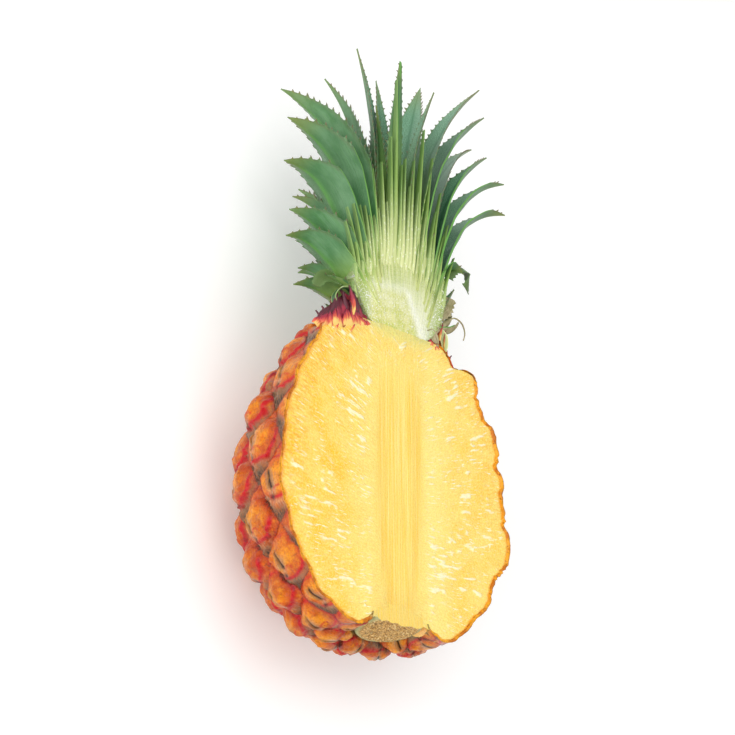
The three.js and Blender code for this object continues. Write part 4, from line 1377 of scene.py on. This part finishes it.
def buildSlicedBracts():
    t = np.linspace(0, 1, bracts["stations"])[:, None]
    c = np.linspace(-1, 1, bracts["columns"])
    sheets = []
    for k, (x, y, z, turn, reach, halfWidth, shift) in enumerate(bracts["sliced"]):
        turn = math.radians(turn)
        chance, other = latticeValue(k, 2, 141) - 0.5, latticeValue(k, 5, 142) - 0.5
        ahead = np.array([-math.sin(turn), math.cos(turn), 0])
        side = np.array([math.cos(turn), math.sin(turn), 0])
        reach, halfWidth = reach * (1 + 0.4 * other), halfWidth * (1 + 0.5 * chance)
        mid = np.array([x, y + 1.8 * chance, z]) + ahead * reach * t + side * chance * 2.6 * t ** 2
        sag = (0.6 + chance) * 1.6 * t ** 2 + (1.1 if shift < 0.3 else 0.4) * smooth(t, 0.3, 0.0)
        half = halfWidth * (0.7 + 0.3 * smooth(t, 0, 0.3)) * (1 - t ** 1.5) ** 0.85 + 0.1
        ruffle = 0.5 * (grainNoise(t * 3 + k, c * 2 + 1.7 * k, 143) - 0.5)
        for lift in (0.16, -0.16):
            place = mid[:, None] + side * (half * c)[..., None]
            place[..., 2] += half * (0.3 - 0.42 * c ** 2) * (1 - 0.5 * t) + lift + ruffle - sag
            place[..., 2] = np.minimum(place[..., 2], fruit["cutHeight"] + 0.4)
            along = t * 0.9 + 0.3 * np.abs(c) ** 3 + shift + 0.36 * other
            sheets.append(bractSheet(place, along, reach, half * c, t, k * 7.0))
    addBracts("slicedBracts", [], sheets)


def bractPlaces():
    places = list(bracts["fringe"])
    for level, (count, radius, height, lean, tipLean, length, halfWidth) in enumerate(bracts["rows"]):
        for k in range(count):
            chance, other = latticeValue(k, level, 23), latticeValue(k, level + 5, 24)
            azimuth = 12 - (k + 0.5 * (level % 2)) / count * 360 + (chance - 0.5) * 7
            tipTurn = tipLean + 50 * (chance - 0.4)
            size = (length * (0.75 + 0.5 * other), halfWidth * (0.8 + 0.4 * chance))
            places.append((azimuth, radius, height, lean, tipTurn, *size))
    return places


def buildBracts():
    t = np.linspace(0, 1, bracts["stations"])[:, None]
    c = np.linspace(-1, 1, bracts["columns"])
    sheets = []
    for k, (azimuth, radius, height, lean, tipLean, reach, halfWidth) in enumerate(bractPlaces()):
        if radius * math.sin(math.radians(azimuth)) > fruit["cutHeight"] + 1:
            continue
        middle = math.radians((lean + tipLean) / 2)
        foot = (radius - 0.6 * math.cos(math.radians(lean)), height - 0.8)
        tip = (radius + reach * math.sin(middle), height + reach * math.cos(middle))
        mid, slope = bezier(foot, lean, tip, tipLean, t[:, 0])
        half = halfWidth * (0.75 + 0.25 * np.sin(t * 5)) * (1 - t ** 1.8) ** 0.8 + 0.12
        across = half * c * (1 + 0.06 * np.sin(7 * t + k))
        ruffle = 0.3 * (grainNoise(t * 3 + k, c * 2 + 1.7 * k, 131) - 0.5)
        for lift in (0.24, -0.24):
            rise = half * (-0.34 * c ** 2) + lift * (1 - c ** 2 * 0.6) + ruffle
            place = standing(mid, slope, azimuth, rise, across)
            place[..., 0] += fruit["crownShift"] * 0.5 * smooth(place[..., 1], 104, 116)
            along = t + 0.22 * np.abs(c) ** 3 + (latticeValue(k, 4, 25) - 0.5) * 0.3
            sheets.append(bractSheet(place, along, reach, across, t, k * 5.0))
    addBracts("neckBracts", ["neck_bracts"], sheets, "bract")


buildBracts()
buildSlicedBracts()

# dried scraps, laid out as the crown's leaves are

dried = [
    (357, (14.5, 115), 46, (30, 132), -14, 4.5),
    (9, (14.5, 114.6), 58, (29, 124.5), 20, 4),
]
for index, row in enumerate(dried):
    leafBlade(40 + index, row, f"driedScrap{index + 1}", f"dried_leaf_{index + 1}", dried=True)

# curls and scraps: path, width and the way it is broad at the start, middle and end
ribbons = {
    "curledLeaf": {
        "path": [
            (-16.5, 117.0, 2.6), (-18.6, 120.4, 3.0), (-21.6, 122.2, 3.2), (-25.0, 121.2, 3.0),
            (-27.4, 118.0, 2.8), (-27.0, 115.4, 2.4),
        ],
        "width": (3.2, 4.6, 2.4),
        "broad": [(0.2, -0.2, 1), (-0.3, -0.3, 1), (-0.1, 0.1, 1)],
        "pale": 0.28,
        "spines": 0.3,
    },
    "curledLeafOuter": {
        "path": [
            (-15.0, 118.5, -0.5), (-20.0, 124.0, -0.2), (-26.0, 126.4, 0.2), (-31.0, 124.6, 0.4),
            (-33.6, 120.6, 0.4),
        ],
        "width": (6.0, 8.0, 3.0),
        "broad": [(0.6, -0.6, 0.5), (0.3, -0.8, 0.5), (0.6, -0.4, 0.6)],
        "spines": 0.5,
    },
    "brokenTip": {
        "path": [
            (29.0, 143.6, 1.4), (31.4, 147.4, 2.0), (34.8, 149.2, 2.4), (38.0, 147.6, 2.6),
            (38.4, 143.8, 2.6), (37.2, 141.0, 2.6),
        ],
        "width": (3.4, 5.2, 4.4),
        "broad": [(0.7, -0.5, 0.6), (0.2, -0.7, 0.7), (-0.95, 0.1, 0.3)],
        "spines": 0.8,
    },
    "greyScrap": {
        "path": [
            (19.5, 119.5, 0.5), (23.4, 124.6, 1.6), (26.6, 128.6, 2.0), (28.4, 132.8, 2.2),
            (28.8, 134.6, 2.2),
        ],
        "width": (2.2, 4.6, 4.4),
        "broad": [(0.7, -0.6, 0.5), (0.9, -0.3, 0.4), (1, -0.1, 0.3)],
        "dry": True,
        "spines": 0.9,
    },
    "brownScrap": {
        "path": [(19, 115.5, -0.5), (22, 118.4, 0.4), (24.6, 121.0, 1.0), (26.4, 123.4, 1.4)],
        "width": (2.2, 3.0, 2.0),
        "broad": [(0.6, -0.7, 0.4), (0.8, -0.5, 0.4), (0.7, -0.3, 0.6)],
        "dry": True,
        "spines": 0.6,
    },
    "hangingFlap": {
        "path": [
            (17.0, 116.6, 2.6), (20.6, 118.0, 4.2), (23.0, 115.8, 4.8), (23.6, 112.0, 4.8),
            (23.0, 109.4, 4.6),
        ],
        "width": (2.4, 3.2, 1.6),
        "broad": [(0.3, 0.5, 0.9), (0.7, 0.3, 0.6), (0.9, 0.2, 0.4)],
        "pale": 1.0,
    },
    "hangingFlapInner": {
        "path": [(14.0, 114.6, 4.6), (16.8, 115.4, 5.2), (18.4, 112.6, 5.4), (18.8, 109.6, 5.4)],
        "width": (2.6, 3.4, 1.8),
        "broad": [(0.5, 0.6, 0.5), (0.9, 0.3, 0.2), (1, 0.2, 0.1)],
        "dry": True,
        "pale": 1.0,
    },
    "paleCurl": {
        "path": [
            (15.4, 113.8, 4.2), (18.4, 116.6, 4.9), (21.4, 119.6, 4.8), (25.4, 122.6, 4.0),
            (28.4, 125.4, 3.0),
        ],
        "width": (2.0, 2.6, 1.2),
        "broad": [(0.7, -0.7, 0.2), (0.6, -0.6, 0.5), (0.5, -0.5, 0.7)],
        "dry": True,
    },
    "dryStrand": {
        "path": [
            (24, 121.4, 3.4), (28, 125, 3.2), (31.2, 126.6, 3.0), (34.4, 125.2, 3.0), (35.7, 121.8, 3.0),
            (34.8, 118.6, 3.0),
        ],
        "width": (0.8, 0.55, 0.3),
        "broad": [(0, 0, 1), (0.3, 0, 1), (0, 0.2, 1)],
        "dry": True,
    },
}
ribbonShape = {
    "stations": 44,
    "columns": 9,
    "cup": 0.14,
    "halfThickness": 0.28,
    "toothSpacing": 1.9,
}


def ribbon(name, path, width, broad, dry=False, pale=0.0, spines=0.0):
    stations, columns = ribbonShape["stations"], ribbonShape["columns"]
    t = np.linspace(0, 1, stations)
    c = np.linspace(-1, 1, columns)
    mid = curveThrough(path, t)
    slope = unit(np.gradient(mid, axis=0))
    wide = curveThrough(broad, t)
    wide = unit(wide - slope * np.sum(wide * slope, axis=1)[:, None])
    normal = np.cross(slope, wide)
    half = np.interp(t, [0, 0.5, 1], width)[:, None] / 2
    length = pathLength(mid)[:, None]
    teeth = spines * (np.abs((length / ribbonShape["toothSpacing"]) % 1 - 0.5) * 2) ** 2
    reach = half * c + np.sign(c) * teeth * (np.abs(c) > 0.99)
    cup = ribbonShape["cup"] * half * (c ** 2 - 0.4)
    sheets = []
    for lift in (1, -1):
        thick = lift * (ribbonShape["halfThickness"] - 0.12 * np.abs(c))
        place = mid[:, None] + wide[:, None] * reach[..., None] + normal[:, None] * (cup + thick)[..., None]
        sheets.append(place.reshape(-1, 3))
    alongGrid, acrossGrid = np.meshgrid(t, c, indexing="ij")
    rim = smooth(np.abs(acrossGrid), 0.6, 0.95)
    foot = rim * pale * 0.8 + (0.5 - 0.3 * rim) * (pale > 0.9)
    footward = np.maximum(rim * 0.5, smooth(alongGrid, 0.3, 0.0)) * 0.8 * (pale > 0) + 0.5 * (pale > 0.9)
    marks = {
        "foot": np.tile(foot.ravel(), 2),
        "footward": np.tile(footward.ravel(), 2),
        # painted shade over the ribbon's middle, lighter at its edges
        "shade": np.tile((0.95 - 0.5 * rim).ravel() * (pale < 0.9), 2),
        "inside": 0,
        "tipward": 0.4 * (pale == 0),
        "keel": 0,
        "spine": 0,
    }
    grain = np.stack([length + reach * 0, reach, np.full_like(reach, len(name) * 3.0)], axis=2).reshape(-1, 3)
    finish, slot = ("dry", "dried_leaf") if dry else ("leaf", "leaf")
    faces = sheetFaces(stations, columns)
    addPiece(name, np.concatenate(sheets), faces, finish, slot, [], marks, np.tile(grain, (2, 1)), finish)


for name, look in ribbons.items():
    ribbon(name, **look)
print("stub, bracts and dried scraps made")


# floor, light and camera

studio = {
    "floorSize": 6.0,
    "floorColour": tint("#FAFAF9"),
    "floorGlow": 0.11,
    "worldStrength": 0.62,
    "lamps": {  # place, size and power
        "keySoftbox": ((-0.32, 0.2, 1.12), 1.0, 4.7),
        "leftSoftbox": ((-0.95, -0.2, 0.42), 0.9, 4.5),
        "frontLamp": ((-0.2, -0.7, 0.8), 0.4, 2.0),
    },
    "lens": 88.5,
    "azimuth": 40.0,
    "elevation": 23.95,
    "distance": 642.1,
    "aimAlong": 73.5,
    "aimRight": -7.38,
    "aimUp": 22.93,
}


def makeFloor():
    size = studio["floorSize"]
    mesh = bpy.data.meshes.new("floor")
    corners = [(-size, -size, 0), (size, -size, 0), (size, size, 0), (-size, size, 0)]
    mesh.from_pydata(corners, [], [(0, 1, 2, 3)])
    floor = bpy.data.objects.new("floor", mesh)
    scene.collection.objects.link(floor)
    paper = Finish(
        "floorPaper", Base_Color=studio["floorColour"], Roughness=0.9, Emission_Strength=studio["floorGlow"],
    )
    mesh.materials.append(paper.material)


def makeLights():
    world = bpy.data.worlds.new("studioWorld")
    world.use_nodes = True
    background = world.node_tree.nodes["Background"]
    background.inputs["Color"].default_value = (1, 1, 1, 1)
    background.inputs["Strength"].default_value = studio["worldStrength"]
    scene.world = world
    scene.view_settings.view_transform = "Standard"
    for name, (place, size, power) in studio["lamps"].items():
        data = bpy.data.lights.new(name, "AREA")
        data.size = size
        data.energy = power
        lamp = bpy.data.objects.new(name, data)
        scene.collection.objects.link(lamp)
        lamp.location = place
        lamp.rotation_euler = (Vector((0, 0, 0.03)) - Vector(place)).to_track_quat("-Z", "Y").to_euler()


def makeCamera():
    turn, rise = math.radians(studio["azimuth"]), math.radians(studio["elevation"])
    toCamera = np.array([-math.sin(turn) * math.cos(rise), -math.sin(rise), math.cos(turn) * math.cos(rise)])
    right = np.array([math.cos(turn), 0, math.sin(turn)])
    up = np.cross(toCamera, right)
    aim = np.array([0, studio["aimAlong"], 0]) + right * studio["aimRight"] + up * studio["aimUp"]
    place = (aim + toCamera * studio["distance"]) / 1000 + fruitOrigin
    data = bpy.data.cameras.new("camera")
    data.lens = studio["lens"]
    data.sensor_width = 36
    camera = bpy.data.objects.new("camera", data)
    scene.collection.objects.link(camera)
    matrix = np.eye(4)
    matrix[:3, 0], matrix[:3, 1], matrix[:3, 2], matrix[:3, 3] = right, up, toCamera, place
    camera.matrix_world = Matrix(matrix.tolist())
    scene.camera = camera


makeFloor()
makeLights()
makeCamera()
print("floor, light and camera set")
